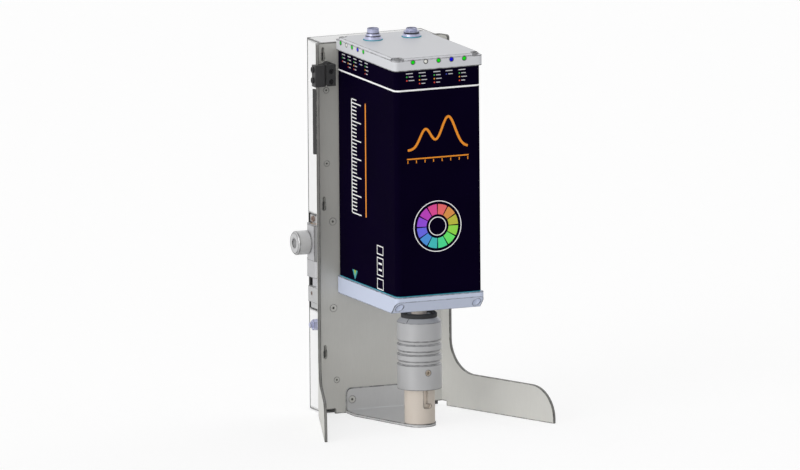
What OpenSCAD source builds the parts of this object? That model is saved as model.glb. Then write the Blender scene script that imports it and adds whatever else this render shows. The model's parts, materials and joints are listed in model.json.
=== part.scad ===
// Measuring head of a benchtop spectrophotometer on a bent sheet-metal stand.
// Millimetres. The optical axis is the Z axis, the bench is z = 0, and the head faces -Y.

/* [Head] */
// Width of the head's body
head_w = 100; // [94:1:104]
// Depth of the head's body
head_d = 159.6; // [150:0.2:180]
// Height of the body between the two covers
head_h = 247; // [240:1:300]
// Wall of the body
head_wall = 3; // [2:0.5:4]
// Radius of the body's upright edges
head_corner = 6; // [5:0.5:9]
// Distance from the optical axis to the body's front
head_front = 57; // [50:1:60]
// How far both covers stand out past the body's front and sides
cover_overhang = 2; // [1:0.25:3]
// Radius of the covers' upright edges
cover_corner = 5; // [4:0.5:7]
// Height of the top cover
top_cover_h = 13.5; // [12.5:0.5:16]
// Height of the bottom cover
bottom_cover_h = 18.5; // [17:0.5:24]
// Size of the 45 degree chamfer under the front of the bottom cover
bottom_chamfer = 13; // [8:1:14]
// Thickness of the covers' flat plates
cover_skin = 3; // [2.5:0.5:4]
// Thickness of the gaskets between body and covers
gasket_t = 1; // [0.5:0.1:1.5]
// Gap between the lowered seal and the raised head's underside
head_clear = 9; // [6:0.5:10]
// Gap between the body's back and the web
head_gap = 0.9; // [0.6:0.1:8]

/* [Lamps and connectors] */
// Radius of a status lamp
lamp_r = 2; // [1.5:0.1:2.1]
// Height of the lamps above the body
lamp_up = 9; // [6:0.2:9]
// Spacing of the lamps in the front rim
lamp_pitch = 15; // [10:0.5:17]
// Spacing of the lamps in the left rim
side_lamp_pitch = 15.4; // [10:0.2:16]
// Distance between the two connectors
connector_gap = 45; // [34:0.2:50]
// Distance of the connectors from the body's back
connector_in = 35.8; // [30:0.2:50]
// Radius of the connectors' threaded shells
connector_r = 6.4; // [5:0.1:6.5]
// Radius of the connectors' flanges
connector_flange_r = 10; // [8.5:0.1:10.5]

/* [Stand] */
// Height of the stand
stand_h = 405; // [400:1:460]
// Thickness of the sheet
sheet_t = 3; // [2:0.25:3.5]
// Half width of the web, to the inner corners of the bends
web_half = 71; // [70:0.5:80]
// Inside radius of the bends
bend_r = 2; // [1:0.25:4]
// Outward splay of the wings, in degrees
splay = 21; // [10:1:30]
// Width of the narrow upper part of the wings
flange_w = 12; // [9:0.5:14]
// Length of the feet, from the bend
foot_len = 171; // [150:1:200]
// Height of the feet
foot_h = 38.7; // [30:0.1:50]
// Radius where a foot runs up into its wing
foot_fillet = 36; // [15:1:50]
// Radius of the toes
toe_r = 34; // [15:1:36]
// Height of the relief notches at the lower corners
notch_h = 5; // [3:0.5:8]

/* [Rear cover] */
// Half width of the rear cover
cover_half = 67; // [65:0.5:68.5]
// Depth of the rear cover
cover_d = 38.5; // [37:0.5:45]
// Sheet thickness of the rear cover
cover_t = 2; // [1:0.25:2.25]
// Gap between the rear cover and the bench
cover_lift = 1; // [0.5:0.5:4]

/* [Guide] */
// Radius of the guide column
column_r = 8; // [7:0.25:8.5]
// Distance of the column from the middle plane
column_x = 60; // [59:0.5:61]
// Distance of the column behind the web
column_back = 22.5; // [21:0.5:23]
// Radius of the steady rod
rod_r = 5; // [4:0.25:6]
// Height of the carriage's lower edge
carriage_z = 147; // [145:0.5:149]
// Height of the carriage's narrow lower part
carriage_skirt = 19; // [15:1:22]
// Height of the carriage's main part
carriage_h = 38.5; // [38:0.5:39]
// Radius of the clamp knob
knob_r = 13; // [10:0.5:14]
// Length of the clamp knob
knob_len = 15.6; // [12:0.2:25]
// Radius of the clamp screw
clamp_r = 4; // [3.5:0.25:4.5]

/* [Adapter] */
// Radius of the light aperture in the tongue
aperture_r = 10; // [8:0.5:10.5]
// Outer radius of the tube
tube_r = 16.5; // [16:0.1:17]
// Bore radius of the tube above its shelf
tube_bore_r = 12.5; // [12.2:0.1:13]
// Length of the tube
tube_h = 64; // [62:1:68]
// Outer radius of the sleeve
sleeve_r = 24; // [22:0.5:27]
// Length of the sleeve
sleeve_h = 77.5; // [76:0.5:90]
// Height of the raised sleeve's lower edge
sleeve_z = 41; // [41:0.5:44]
// Travel of the sleeve
sleeve_travel = 37; // [20:1:37]
// Angle that the sleeve turns in the slot's foot when it is locked down
lock_turn = 18; // [8:1:30]
// Height of the seal ring
seal_h = 5; // [4:0.5:7]
// Outer radius of the nose
nose_r = 8.25; // [7:0.05:8.5]
// Width of the slot in the tube
slot_w = 4.6; // [4:0.1:5.5]

/* [Base bracket] */
// Half width of the bracket
bracket_half = 42.5; // [38:0.5:48]
// Height of the bracket
bracket_h = 27.2; // [24:0.2:40]
// Radius of the tongue's round end
tongue_r = 17.4; // [17.1:0.1:22]
// Length of the tongue's straight sides
tongue_straight = 25; // [10:1:40]

/* [Cable clamp] */
// Height of the cable clamp's lower edge
cable_clamp_z = 360; // [300:1:365]
// Height of the cable clamp
cable_clamp_h = 23.5; // [22:0.5:28]
// Radius of the cable channel
cable_r = 3; // [2:0.1:3.2]
// Length of the cable guide below the clamp
guide_len = 74; // [40:1:100]

/* [Hidden] */
$fn = 96;

// Small overlap that lets a cut run past a face
cut = 1;
// Gap between two rigid pieces that lie beside each other
gap = 0.4;
// Radial clearance of a running fit
run = 0.05;

// Clearance holes and heads of the screws: shank radius, head radius
m25 = [1.25, 2.4];
m3 = [1.5, 2.9];
m4 = [2, 3.7];
m5 = [2.5, 4.25];
hole_play = 0.1;

// Stations along the optical axis
tongue_t = sheet_t;
sleeve_top = sleeve_z + sleeve_h;
seal_top = sleeve_top + seal_h;
head_z = seal_top + head_clear;
body_z = head_z + bottom_cover_h;
body_top = body_z + head_h;
head_top = body_top + top_cover_h;
head_travel = head_clear - gap;

floor_t = 5;
floor_z = head_z + floor_t;
screw_well = bottom_cover_h - 4.5;

// Stations front to back
body_front = -head_front;
body_back = head_d - head_front;
web_y = body_back + head_gap;
web_back = web_y + sheet_t;
cover_y = web_back;
column_y = web_back + column_back;
body_mid = (body_front + body_back) / 2;

// Covers of the head
rim_w = head_w + 2 * cover_overhang;
rim_d = head_d + cover_overhang;
rim_front = body_front - cover_overhang;
rim_mid = (rim_front + body_back) / 2;
rim_land = 7;
corner_in = [5, 5];
corner_xy = [for (x = [-1, 1], y = [body_front + corner_in[1], body_back - corner_in[1]])
    [x * (head_w / 2 - corner_in[0]), y]];
corner_boss_r = 5.5;
notch_r = 4.3;
edge_in = 2.7;
edge_drop = 2.2;
notch_deep = 2.4;
connector_y = body_back - connector_in;

// Bends of the stand
bend_run = bend_r * tan((90 - splay) / 2);
web_flat = web_half - bend_run;
bend_steps = 8;
notch_x = web_half - 17;
notch_run = 6;
wing_top_r = 3;

// Carriage, blocks and their screws
block_x1 = column_x - 14;
block_gap = 1;
carriage_main_z = carriage_z + carriage_skirt;
carriage_top = carriage_main_z + carriage_h;
carriage_out = 74;
carriage_front = web_back + 5.5;
carriage_back = column_y + 10.5;
top_block_z = carriage_top + block_gap;
top_block_h = 8.4;
bottom_block_z = carriage_z - head_travel - 2.4 - 24.3;
bottom_block_h = 24.3;
bottom_block_narrow = 7.2;
spigot_r = 4;
rod_x = 56;
block_screw_x = 55.5;
top_screw_z = top_block_z + top_block_h / 2;
bottom_screw_z = bottom_block_z + bottom_block_narrow / 2;
column_screw_z = bottom_block_z + bottom_block_narrow + 9.6;
inside_half = cover_half - cover_t - 0.5;
bush_r = 10;
bush_len = 12;
clamp_z = carriage_main_z + 18.7;
shoe_t = 2.5;
shoe_r = 3;
shoe_x = column_x + column_r + 0.03;
knob_back = carriage_out + gap;

// Arm through the web
arm_half = 18;
arm_z = carriage_main_z + 2;
arm_h = carriage_h - 3.5;
beam_d = 17;
beam_front = carriage_front + 2;
beam_back = beam_front + beam_d;
head_screw_x = 11;
head_screw_up = [8, 27];
head_screw_xz = [for (x = [-1, 1], z = head_screw_up) [x * head_screw_x, arm_z + z]];
head_seat_deep = 5.5;
plate_t = 8;
plate_w = 52;
rod_wall = 8;

// Window in the rear cover's left side
window_front = web_back + 4;
window_back = cover_y + cover_d - 3.5;
window_z = bottom_block_z - 0.7;
window_top = top_block_z + top_block_h + 0.6;

// Hook slots near the web's edges, wide below and narrow above
key_z = [386, 223, 61];
key_x = web_half - 5.4;
key_r = 1.6;
key_neck_r = 0.9;
key_wide_h = 8.6;
key_h = 14;

// Rear cover screws
cover_screw_xz = [[62, 353.4], [62, 273.5], [52.3, 36.7]];
cover_tab = 5;
foot_screw_below = 60;
bracket_screw_x = bracket_half - 6.8;
bracket_screw_z = bracket_h - 12.5;
tube_screw_r = (tube_r + tube_bore_r) / 2;
earth_z = 95.5;
earth_y = web_back + 14.5;
earth_r = 3;

// Tangent from the end of a straight side to the tongue's round end
tongue_side = [bracket_half, web_y - tongue_straight];
tangent_angle = atan2(tongue_side[1], tongue_side[0]) - acos(tongue_r / norm(tongue_side));
tangent_point = tongue_r * [cos(tangent_angle), sin(tangent_angle)];

// Adapter
shelf_z = 30;
lip_t = 6.5;
lip_z = sleeve_top - lip_t;
lip_bore_r = nose_r + 1.75;
sleeve_bore_r = tube_r + run;
guide_screw_z = sleeve_z + 19.1;
dog_r = slot_w / 2 - 0.1;
slot_floor_r = tube_bore_r + 0.9;
dog_reach = slot_floor_r + 0.6;
slot_foot_z = guide_screw_z - sleeve_travel - 0.5;
spring_r = 11.2;
spring_wire_r = 0.65;
spring_turns = 9;
spigot_h = 2;
seal_r = 19.5;
seal_bore_r = 15.5;
groove_pitch = 11;
groove_w = 4.2;
groove_deep = 1.5;

// Cable clamp
clamp_split_x = web_half - 4.6;
clamp_front = web_y - 13.5;
clamp_out = web_half + 9.6;
clamp_base_w = 10;
clamp_hole_x = clamp_split_x - 5;
clamp_hole_z = [for (up = [4.6, 16]) cable_clamp_z + up];
jaw_front = clamp_front + 0.5;
jaw_screw_y = web_y - 8.5;
jaw_screw_z = [for (up = [7, 18.5]) cable_clamp_z + up];
wing_out_x = web_half + (web_y - jaw_screw_y) * tan(splay) + sheet_t / cos(splay);

// Lamp rows, counted from the left and from the back
lamp_z = body_top + lamp_up;
lamp_x0 = -2 * lamp_pitch;
lamp_y0 = body_back - 16.1;
green = [0, 2, 4];
white = [1];
blue = [3];
lamp_seat = 7;
board_t = 1.6;

// Optics and electronics
optic_w = 64;
optic_z = floor_z;
nose_len = 15;
glass_r = nose_r - 1;
optic_h = 47.5;
module_h = 77;
module_d = 78;
chamber_r = 13;
board_w = 76;
board_z = arm_z + arm_h + 19;
board_h = 150;
spacer_len = 7;

// Rectangle with round corners, centred on the origin
module round_rect(w, d, r) {
    square([w - 2 * r, d], center = true);
    square([w, d - 2 * r], center = true);
    for (x = [-1, 1], y = [-1, 1])
        translate([x * (w / 2 - r), y * (d / 2 - r)])
            circle(r);
}

// Countersunk screw that points along +Z with its head's face at z = 0
module flush_screw(size, len) {
    difference() {
        union() {
            cylinder(r1 = size[1], r2 = size[0], h = size[1] - size[0]);
            cylinder(r = size[0], h = len);
        }
        translate([0, 0, -cut])
            cylinder(r = size[0] * 0.75, h = cut + size[0] * 0.8, $fn = 6);
    }
}

// Hole for a countersunk screw along +Z, with its mouth at z = 0
module flush_hole(size, len) {
    lip = hole_play;
    cylinder(r1 = size[1] + lip, r2 = size[0] + lip, h = size[1] - size[0]);
    translate([0, 0, -cut])
        cylinder(r = size[1] + lip, h = cut);
    cylinder(r = size[0] + lip, h = len);
}

// Cap screw along +Z, with the seat of its head at z = 0 and the head below it
module cap_screw(size, len, head_h) {
    difference() {
        union() {
            translate([0, 0, -head_h])
                cylinder(r = size[1], h = head_h);
            cylinder(r = size[0], h = len);
        }
        translate([0, 0, -head_h - cut])
            cylinder(r = size[0] * 0.95, h = cut + head_h * 0.6, $fn = 6);
    }
}

// Turns +Z into +Y, -Y, +X or -X
module along_y() {
    rotate([-90, 0, 0])
        children();
}

module along_minus_y() {
    rotate([90, 0, 0])
        children();
}

module along_x() {
    rotate([0, 90, 0])
        children();
}

module both_sides() {
    children();
    mirror([1, 0, 0])
        children();
}

// Frame of the right wing: X runs along the wing, Y is up, and Z points into the bay
module wing_frame() {
    translate([web_half, web_y, 0])
        rotate([0, 0, splay - 90])
            rotate([90, 0, 0])
                children();
}

function arc(centre, r, from, to, steps) =
    [for (i = [0:steps])
        let (a = from + (to - from) * i / steps)
        centre + r * [cos(a), sin(a)]];

// Plan of the blank: the web, its bends and wings as long as the feet, as one outline
module blank_plan() {
    centre = [web_flat, -bend_r];
    tip = centre + (foot_len - bend_run) * [sin(splay), -cos(splay)];
    right = concat(
        arc(centre, bend_r + sheet_t, 90, splay, bend_steps),
        [for (r = [bend_r + sheet_t, bend_r]) tip + r * [cos(splay), sin(splay)]],
        arc(centre, bend_r, splay, 90, bend_steps));
    left = [for (i = [len(right) - 1:-1:0]) [-right[i][0], right[i][1]]];
    polygon(concat(right, left));
}

// What is cut from a wing, so that the narrow upper wing and the foot are left
module wing_waste() {
    translate([flange_w + foot_fillet, foot_h])
        square([foot_len, stand_h]);
    translate([flange_w, foot_h + foot_fillet])
        square([foot_len, stand_h]);
    translate([flange_w + foot_fillet, foot_h + foot_fillet])
        circle(foot_fillet);
    for (p = [[foot_len, foot_h, toe_r], [flange_w, stand_h, wing_top_r]])
        translate([p[0] - p[2], p[1] - p[2]])
            difference() {
                square(p[2] + 2 * cut);
                circle(p[2]);
            }
}

module keyhole(z) {
    translate([0, 0, z])
        mirror([0, 1, 0])
            along_minus_y()
                translate([0, 0, -cut])
                    linear_extrude(sheet_t + 2 * cut) {
                        for (up = [key_r, key_wide_h - key_r])
                            translate([0, up])
                                circle(key_r);
                        translate([-key_r, key_r])
                            square([2 * key_r, key_wide_h - 2 * key_r]);
                        translate([-key_neck_r, key_r])
                            square([2 * key_neck_r, key_h - key_neck_r - key_r]);
                        translate([0, key_h - key_neck_r])
                            circle(key_neck_r);
                    }
}

module web_holes() {
    for (z = key_z)
        translate([key_x, web_y, 0])
            keyhole(z);
    for (p = cover_screw_xz)
        translate([p[0], web_y, p[1]])
            along_y()
                flush_hole(m3, sheet_t + cut);
    for (z = [top_screw_z, bottom_screw_z])
        translate([block_screw_x, web_y, z])
            along_y()
                flush_hole(m4, sheet_t + cut);
    translate([bracket_screw_x, web_y - cut, bracket_screw_z])
        along_y()
            cylinder(r = m4[0] + hole_play, h = sheet_t + 2 * cut);
}

module stand_frame() {
    color([0.66, 0.65, 0.63])
        difference() {
            translate([0, web_y, 0])
                linear_extrude(stand_h)
                    blank_plan();
            both_sides() {
                web_holes();
                wing_frame()
                    translate([0, 0, -sheet_t - 3])
                        linear_extrude(sheet_t + 6)
                            wing_waste();
                translate([notch_x, web_y - notch_run, -cut])
                    cube([2 * notch_run + web_half - notch_x, notch_run + sheet_t + cut, notch_h + cut]);
            }
            translate([-arm_half - gap, web_y - cut, arm_z - head_travel - 1])
                cube([2 * (arm_half + gap), sheet_t + 2 * cut, arm_h + head_travel + 2]);
            for (z = clamp_hole_z)
                translate([-clamp_hole_x, web_y - cut, z])
                    along_y()
                        cylinder(r = m3[0] + hole_play, h = sheet_t + 2 * cut);
        }
}

module rear_cover() {
    color([0.95, 0.95, 0.95])
        difference() {
            translate([0, cover_y, cover_lift])
                difference() {
                    union() {
                        linear_extrude(stand_h - cover_lift)
                            cover_plan(0);
                    }
                    translate([0, 0, cover_t])
                        linear_extrude(stand_h - cover_lift - 2 * cover_t)
                            cover_plan(cover_t);
                }
            translate([-cover_half - cut, window_front, window_z])
                cube([cover_t + 2 * cut, window_back - window_front, window_top - window_z]);
            translate([-cover_half - cut, earth_y, earth_z])
                along_x()
                    cylinder(r = earth_r + hole_play, h = cover_t + 2 * cut);
        }
    color([0.95, 0.95, 0.95])
        both_sides()
            for (i = [0:2])
                cover_tab_at(cover_screw_xz[i]);
}

// Outline of the rear cover seen from above, inset by the given amount and open at the front
module cover_plan(inset) {
    r = 2.5;
    w = cover_half - inset;
    d = cover_d - inset;
    difference() {
        translate([-w, inset > 0 ? -cut : 0])
            square([2 * w, inset > 0 ? d + cut : d]);
        for (s = [-1, 1])
            translate([s * (w - r), d - r])
                difference() {
                    translate([s > 0 ? 0 : -r - cut, 0])
                        square(r + cut);
                    circle(r);
                }
    }
}

// Tab inside the rear cover that takes a cover screw
module cover_tab_at(p) {
    low = p[1] < foot_screw_below;
    side = cover_half - cover_t / 2;
    x0 = p[0] - 7;
    difference() {
        translate([x0, cover_y, low ? cover_lift + cover_t / 2 : p[1] - 8])
            cube([low ? 14 : side - x0, cover_tab, low ? p[1] + 8 - cover_lift - cover_t / 2 : 16]);
        translate([p[0], cover_y - cut, p[1]])
            along_y()
                cylinder(r = m3[0] + hole_play, h = cover_tab + 2 * cut);
    }
}

module cover_screws() {
    color([0.75, 0.75, 0.77])
        both_sides()
            for (p = cover_screw_xz)
                translate([p[0], web_y, p[1]])
                    along_y()
                        flush_screw(m3, sheet_t + cover_tab - 0.5);
}

module tongue_plan() {
    polygon([
        [bracket_half, web_y - bend_r - sheet_t], tongue_side, tangent_point,
        [-tangent_point[0], tangent_point[1]], [-tongue_side[0], tongue_side[1]],
        [-bracket_half, web_y - bend_r - sheet_t]]);
    circle(tongue_r);
}

module base_bracket() {
    edge_r = 6;
    color([0.62, 0.62, 0.61])
        difference() {
            union() {
                linear_extrude(tongue_t)
                    tongue_plan();
                translate([0, web_y, 0])
                    along_minus_y()
                        linear_extrude(sheet_t) {
                            translate([-bracket_half, bend_r + sheet_t])
                                square([2 * bracket_half, bracket_h - bend_r - sheet_t - edge_r]);
                            translate([-bracket_half + edge_r, bracket_h - edge_r - cut])
                                square([2 * (bracket_half - edge_r), edge_r + cut]);
                            for (s = [-1, 1])
                                translate([s * (bracket_half - edge_r), bracket_h - edge_r])
                                    circle(edge_r);
                        }
                translate([-bracket_half, web_y - sheet_t - bend_r, sheet_t + bend_r])
                    along_x()
                        linear_extrude(2 * bracket_half)
                            intersection() {
                                difference() {
                                    circle(sheet_t + bend_r);
                                    circle(bend_r);
                                }
                                square(sheet_t + bend_r);
                            }
            }
            translate([0, 0, -cut])
                cylinder(r = aperture_r, h = tongue_t + 2 * cut);
            both_sides()
                translate([bracket_screw_x, web_y - sheet_t, bracket_screw_z])
                    along_y()
                        flush_hole(m4, sheet_t + cut);
            tube_screw_places()
                flush_hole(m25, tongue_t + cut);
        }
}

module tube_screw_places() {
    for (a = [90, 210, 330])
        rotate([0, 0, a])
            translate([tube_screw_r, 0, 0])
                children();
}

module bracket_screws() {
    color([0.8, 0.78, 0.76])
        both_sides()
            translate([bracket_screw_x, web_y - sheet_t, bracket_screw_z])
                along_y()
                    flush_screw(m4, 2 * sheet_t);
}

module tube_screws() {
    color([0.75, 0.75, 0.77])
        tube_screw_places()
            flush_screw(m25, tongue_t + 7);
}

// Blocks, column and rod behind the web
module guide_column() {
    color([0.8, 0.8, 0.82])
        translate([-column_x, column_y, 0]) {
            translate([0, 0, bottom_block_z + bottom_block_h])
                cylinder(r = column_r, h = top_block_z - bottom_block_z - bottom_block_h);
            translate([0, 0, bottom_block_z + 1])
                cylinder(r = spigot_r, h = top_block_z + top_block_h - bottom_block_z - 2);
        }
}

// Block against the web that comes out through the window as far as the given half width
module block_plan(out) {
    back = carriage_back - 1.5;
    translate([-inside_half, web_back])
        square([inside_half - block_x1, back - web_back]);
    translate([-out, window_front + 0.5])
        square([out - block_x1, back - window_front - 0.5]);
}

module column_top_block() {
    color([0.78, 0.78, 0.79])
        difference() {
            translate([0, 0, top_block_z])
                linear_extrude(top_block_h)
                    block_plan(cover_half);
            translate([-column_x, column_y, top_block_z - cut])
                cylinder(r = spigot_r, h = top_block_h - 1 + cut);
            translate([-block_screw_x, web_back - cut, top_screw_z])
                along_y()
                    cylinder(r = m4[0], h = 10 + cut);
            translate([-cover_half - cut, column_y, top_screw_z])
                along_x()
                    cylinder(r = m4[0], h = cover_half - column_x + cut);
        }
}

module column_bottom_block() {
    color([0.78, 0.78, 0.79])
        difference() {
            union() {
                translate([0, 0, bottom_block_z])
                    linear_extrude(bottom_block_narrow)
                        block_plan(cover_half);
                translate([0, 0, bottom_block_z + bottom_block_narrow])
                    linear_extrude(bottom_block_h - bottom_block_narrow)
                        block_plan(cover_half + 3);
            }
            translate([-column_x, column_y, bottom_block_z + 1])
                cylinder(r = spigot_r, h = bottom_block_h);
            translate([-block_screw_x, web_back - cut, bottom_screw_z])
                along_y()
                    cylinder(r = m4[0], h = 10 + cut);
            translate([-cover_half - 3 - cut, column_y, column_screw_z])
                along_x()
                    cylinder(r = m4[0], h = cover_half + 3 - column_x + cut);
        }
}

module column_screws() {
    color([0.6, 0.52, 0.48])
        translate([-cover_half, column_y, top_screw_z])
            along_x()
                cap_screw([m4[0], 3.3], cover_half - column_x - spigot_r, 1.8);
    color([0.3, 0.3, 0.3])
        translate([-cover_half - 3, column_y, column_screw_z])
            along_x()
                difference() {
                    cylinder(r = m4[0], h = cover_half + 3 - column_x - spigot_r);
                    translate([0, 0, -cut])
                        cylinder(r = 1.2, h = cut + 2.5, $fn = 6);
                }
}

module steady_rod() {
    color([0.8, 0.8, 0.82])
        translate([rod_x, column_y, bottom_block_z + 1])
            cylinder(r = rod_r, h = top_block_z + top_block_h - bottom_block_z - 2);
}

module steady_rod_blocks() {
    back = column_y + rod_wall;
    color([0.78, 0.78, 0.79])
        for (b = [[top_block_z, top_block_h, top_screw_z, -cut],
                  [bottom_block_z, bottom_block_h, bottom_screw_z, 1]])
            difference() {
                translate([block_x1, web_back, b[0]])
                    cube([inside_half - block_x1, back - web_back, b[1]]);
                translate([rod_x, column_y, b[0] + b[3]])
                    cylinder(r = rod_r, h = b[1] - 1 + (b[3] < 0 ? cut : cut + 1));
                translate([block_screw_x, web_back - cut, b[2]])
                    along_y()
                        cylinder(r = m4[0], h = 10 + cut);
            }
}

module block_screws() {
    color([0.75, 0.75, 0.77])
        both_sides()
            for (z = [top_screw_z, bottom_screw_z])
                translate([block_screw_x, web_y, z])
                    along_y()
                        flush_screw(m4, sheet_t + 9);
}

module earth_stud() {
    color([0.70, 0.71, 0.80])
        translate([-cover_half + cover_t, earth_y, earth_z])
            along_x() {
                cylinder(r = 6, h = 3);
                translate([0, 0, -cover_t - 8.8])
                    cylinder(r = earth_r, h = cover_t + 8.8 + 2);
            }
}

module earth_nut() {
    color([0.68, 0.69, 0.80])
        translate([-cover_half, earth_y, earth_z])
            along_x()
                difference() {
                    union() {
                        translate([0, 0, -1])
                            cylinder(r = 5.9, h = 1);
                        translate([0, 0, -5.6])
                            cylinder(r = 5.9, h = 4.6, $fn = 6);
                    }
                    translate([0, 0, -5.6 - cut])
                        cylinder(r = earth_r, h = 5.6 + 2 * cut);
                }
}

// Cable clamp over the left wing, with the cable's channel between its two halves
module cable_channel() {
    translate([-clamp_split_x - 0.4, clamp_front + 4.5, cable_clamp_z - cut])
        cylinder(r = cable_r, h = cable_clamp_h + 4 + 2 * cut);
}

module cable_clamp_base() {
    lug_r = 4;
    color([0.2, 0.2, 0.2])
        difference() {
            union() {
                translate([-clamp_split_x, clamp_front, cable_clamp_z])
                    cube([clamp_base_w, web_y - clamp_front, cable_clamp_h]);
                translate([-clamp_split_x + lug_r, clamp_front + 6, cable_clamp_z + cable_clamp_h + 2 - lug_r])
                    along_y()
                        cylinder(r = lug_r, h = web_y - clamp_front - 6);
            }
            cable_channel();
            for (z = clamp_hole_z)
                translate([-clamp_hole_x, clamp_front - cut, z])
                    along_y() {
                        cylinder(r = m3[0] + hole_play, h = web_y - clamp_front + 2 * cut);
                        cylinder(r = m3[1] + 0.2, h = cut + 4);
                    }
        }
}

module cable_clamp_jaw() {
    inner = clamp_split_x + 0.8;
    back = web_y - 2;
    step = web_y - 4.5;
    color([0.2, 0.2, 0.2])
        difference() {
            translate([0, 0, cable_clamp_z])
                linear_extrude(cable_clamp_h)
                    polygon([
                        [-clamp_out, jaw_front - 1], [-inner - 2.5, jaw_front - 1],
                        [-inner, jaw_front + 1.5], [-inner, back], [-inner - 2.2, back],
                        [-inner - 2.2, step], [-clamp_out, step]]);
            cable_channel();
            mirror([1, 0, 0])
                wing_frame()
                    translate([-cut - 4, cable_clamp_z - cut, -sheet_t - 0.15])
                        cube([flange_w + 4.3 + cut, cable_clamp_h + 2 * cut, sheet_t + 0.3]);
            for (z = jaw_screw_z)
                translate([-clamp_out - cut, jaw_screw_y, z])
                    along_x()
                        cylinder(r = m3[0], h = clamp_out - wing_out_x + 2 * cut);
        }
}

module cable_clamp_screws() {
    color([0.55, 0.55, 0.56])
        for (z = clamp_hole_z)
            translate([-clamp_hole_x, clamp_front + 4, z])
                along_y()
                    cap_screw(m3, web_y - clamp_front - 4 + sheet_t, 2.6);
}

module jaw_screws() {
    color([0.15, 0.15, 0.15])
        for (z = jaw_screw_z)
            translate([-clamp_out, jaw_screw_y, z])
                along_x()
                    cap_screw([m3[0], 3.2], clamp_out - wing_out_x - m3[0] * tan(splay) - 0.1, 1.7);
}

// Cable guide on the outer face of the left wing
module cable_guide() {
    t = 3.5;
    color([0.25, 0.25, 0.25])
        mirror([1, 0, 0])
            wing_frame()
                translate([1.5, cable_clamp_z - guide_len, -sheet_t])
                    difference() {
                        translate([0, 0, -t])
                            cube([flange_w - 3, guide_len - 4, t]);
                        translate([2.5, -cut, -t - cut])
                            cube([flange_w - 8, guide_len + 2 * cut, cut + 2]);
                    }
}

// Adapter: tube, sleeve, seal, screw and spring
module slot_cutter(turns) {
    rotate([0, 0, turns])
        rotate([90, 0, 0])
            translate([0, 0, slot_floor_r])
                cylinder(r = slot_w / 2, h = tube_r + cut - slot_floor_r);
}

module adapter_tube() {
    color([0.86, 0.82, 0.77])
        translate([0, 0, tongue_t])
            difference() {
                cylinder(r = tube_r, h = tube_h);
                translate([0, 0, -cut])
                    cylinder(r = aperture_r, h = tube_h + 2 * cut);
                translate([0, 0, shelf_z - tongue_t])
                    cylinder(r = tube_bore_r, h = tube_h);
                slot_z = slot_foot_z - tongue_t;
                slot_len = guide_screw_z + 0.1 - slot_foot_z;
                translate([-slot_w / 2, -tube_r - cut, slot_z])
                    cube([slot_w, tube_r + cut - slot_floor_r, slot_len]);
                for (z = [slot_z, slot_z + slot_len])
                    translate([0, 0, z])
                        slot_cutter(0);
                translate([0, 0, slot_z])
                    slot_cutter(lock_turn);
                translate([0, 0, slot_z - slot_w / 2])
                    rotate([0, 0, -90])
                        rotate_extrude(angle = lock_turn)
                            translate([slot_floor_r - 0.1, 0])
                                square([tube_r + cut, slot_w]);
                tube_screw_places()
                    translate([0, 0, -cut])
                        cylinder(r = m25[0], h = 8 + cut);
            }
}

module sleeve_profile() {
    chamfer = 4.7;
    z_mid = [for (i = [0:2]) 29 + i * groove_pitch];
    difference() {
        polygon([
            [sleeve_bore_r, 0], [sleeve_r, 0], [sleeve_r, sleeve_h - chamfer],
            [sleeve_r - chamfer, sleeve_h], [seal_bore_r, sleeve_h],
            [seal_bore_r, sleeve_h + spigot_h], [lip_bore_r, sleeve_h + spigot_h],
            [lip_bore_r, sleeve_h - lip_t], [sleeve_bore_r, sleeve_h - lip_t]]);
        for (z = z_mid)
            polygon([
                [sleeve_r + cut, z - groove_w / 2 - cut], [sleeve_r - groove_deep, z - groove_w / 2 + 0.6],
                [sleeve_r - groove_deep, z + groove_w / 2 - 0.6], [sleeve_r + cut, z + groove_w / 2 + cut]]);
    }
}

module adapter_sleeve() {
    color([0.72, 0.72, 0.72])
        translate([0, 0, sleeve_z])
            difference() {
                rotate_extrude()
                    sleeve_profile();
                translate([0, 0, guide_screw_z - sleeve_z])
                    rotate([90, 0, 0])
                        cylinder(r = 3.2, h = sleeve_r + cut);
            }
}

module seal_ring() {
    color([0.18, 0.18, 0.18])
        translate([0, 0, sleeve_top])
            rotate_extrude()
                polygon([
                    [seal_bore_r, 0], [seal_r, 0], [seal_r, seal_h - 1.5],
                    [seal_r - 1.5, seal_h], [seal_bore_r + 1, seal_h], [seal_bore_r, seal_h - 1]]);
}

module guide_screw() {
    inner = sleeve_bore_r + 0.3;
    color([0.85, 0.80, 0.74])
        translate([0, 0, guide_screw_z])
            rotate([90, 0, 0])
                difference() {
                    union() {
                        translate([0, 0, inner])
                            cylinder(r = 3.2, h = sleeve_r - inner - 0.6);
                        translate([0, 0, dog_reach])
                            cylinder(r = dog_r, h = inner - dog_reach + cut);
                    }
                    translate([0, 0, sleeve_r - 3.5])
                        cylinder(r = 1.75, h = 6, $fn = 6);
                }
}

// Coil spring between the tube's shelf and the sleeve's lip, as one unbroken wire
spring_z0 = shelf_z + spring_wire_r;
spring_z1 = lip_z - spring_wire_r;
spring_steps = 12 * spring_turns;
wire_sides = 6;

function spring_ring(i) =
    let (a = 360 * i / 12, z = spring_z0 + (spring_z1 - spring_z0) * i / spring_steps)
    [for (k = [0:wire_sides - 1])
        let (b = 360 * k / wire_sides, r = spring_r + spring_wire_r * cos(b))
        [r * cos(a), r * sin(a), z + spring_wire_r * sin(b)]];

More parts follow.
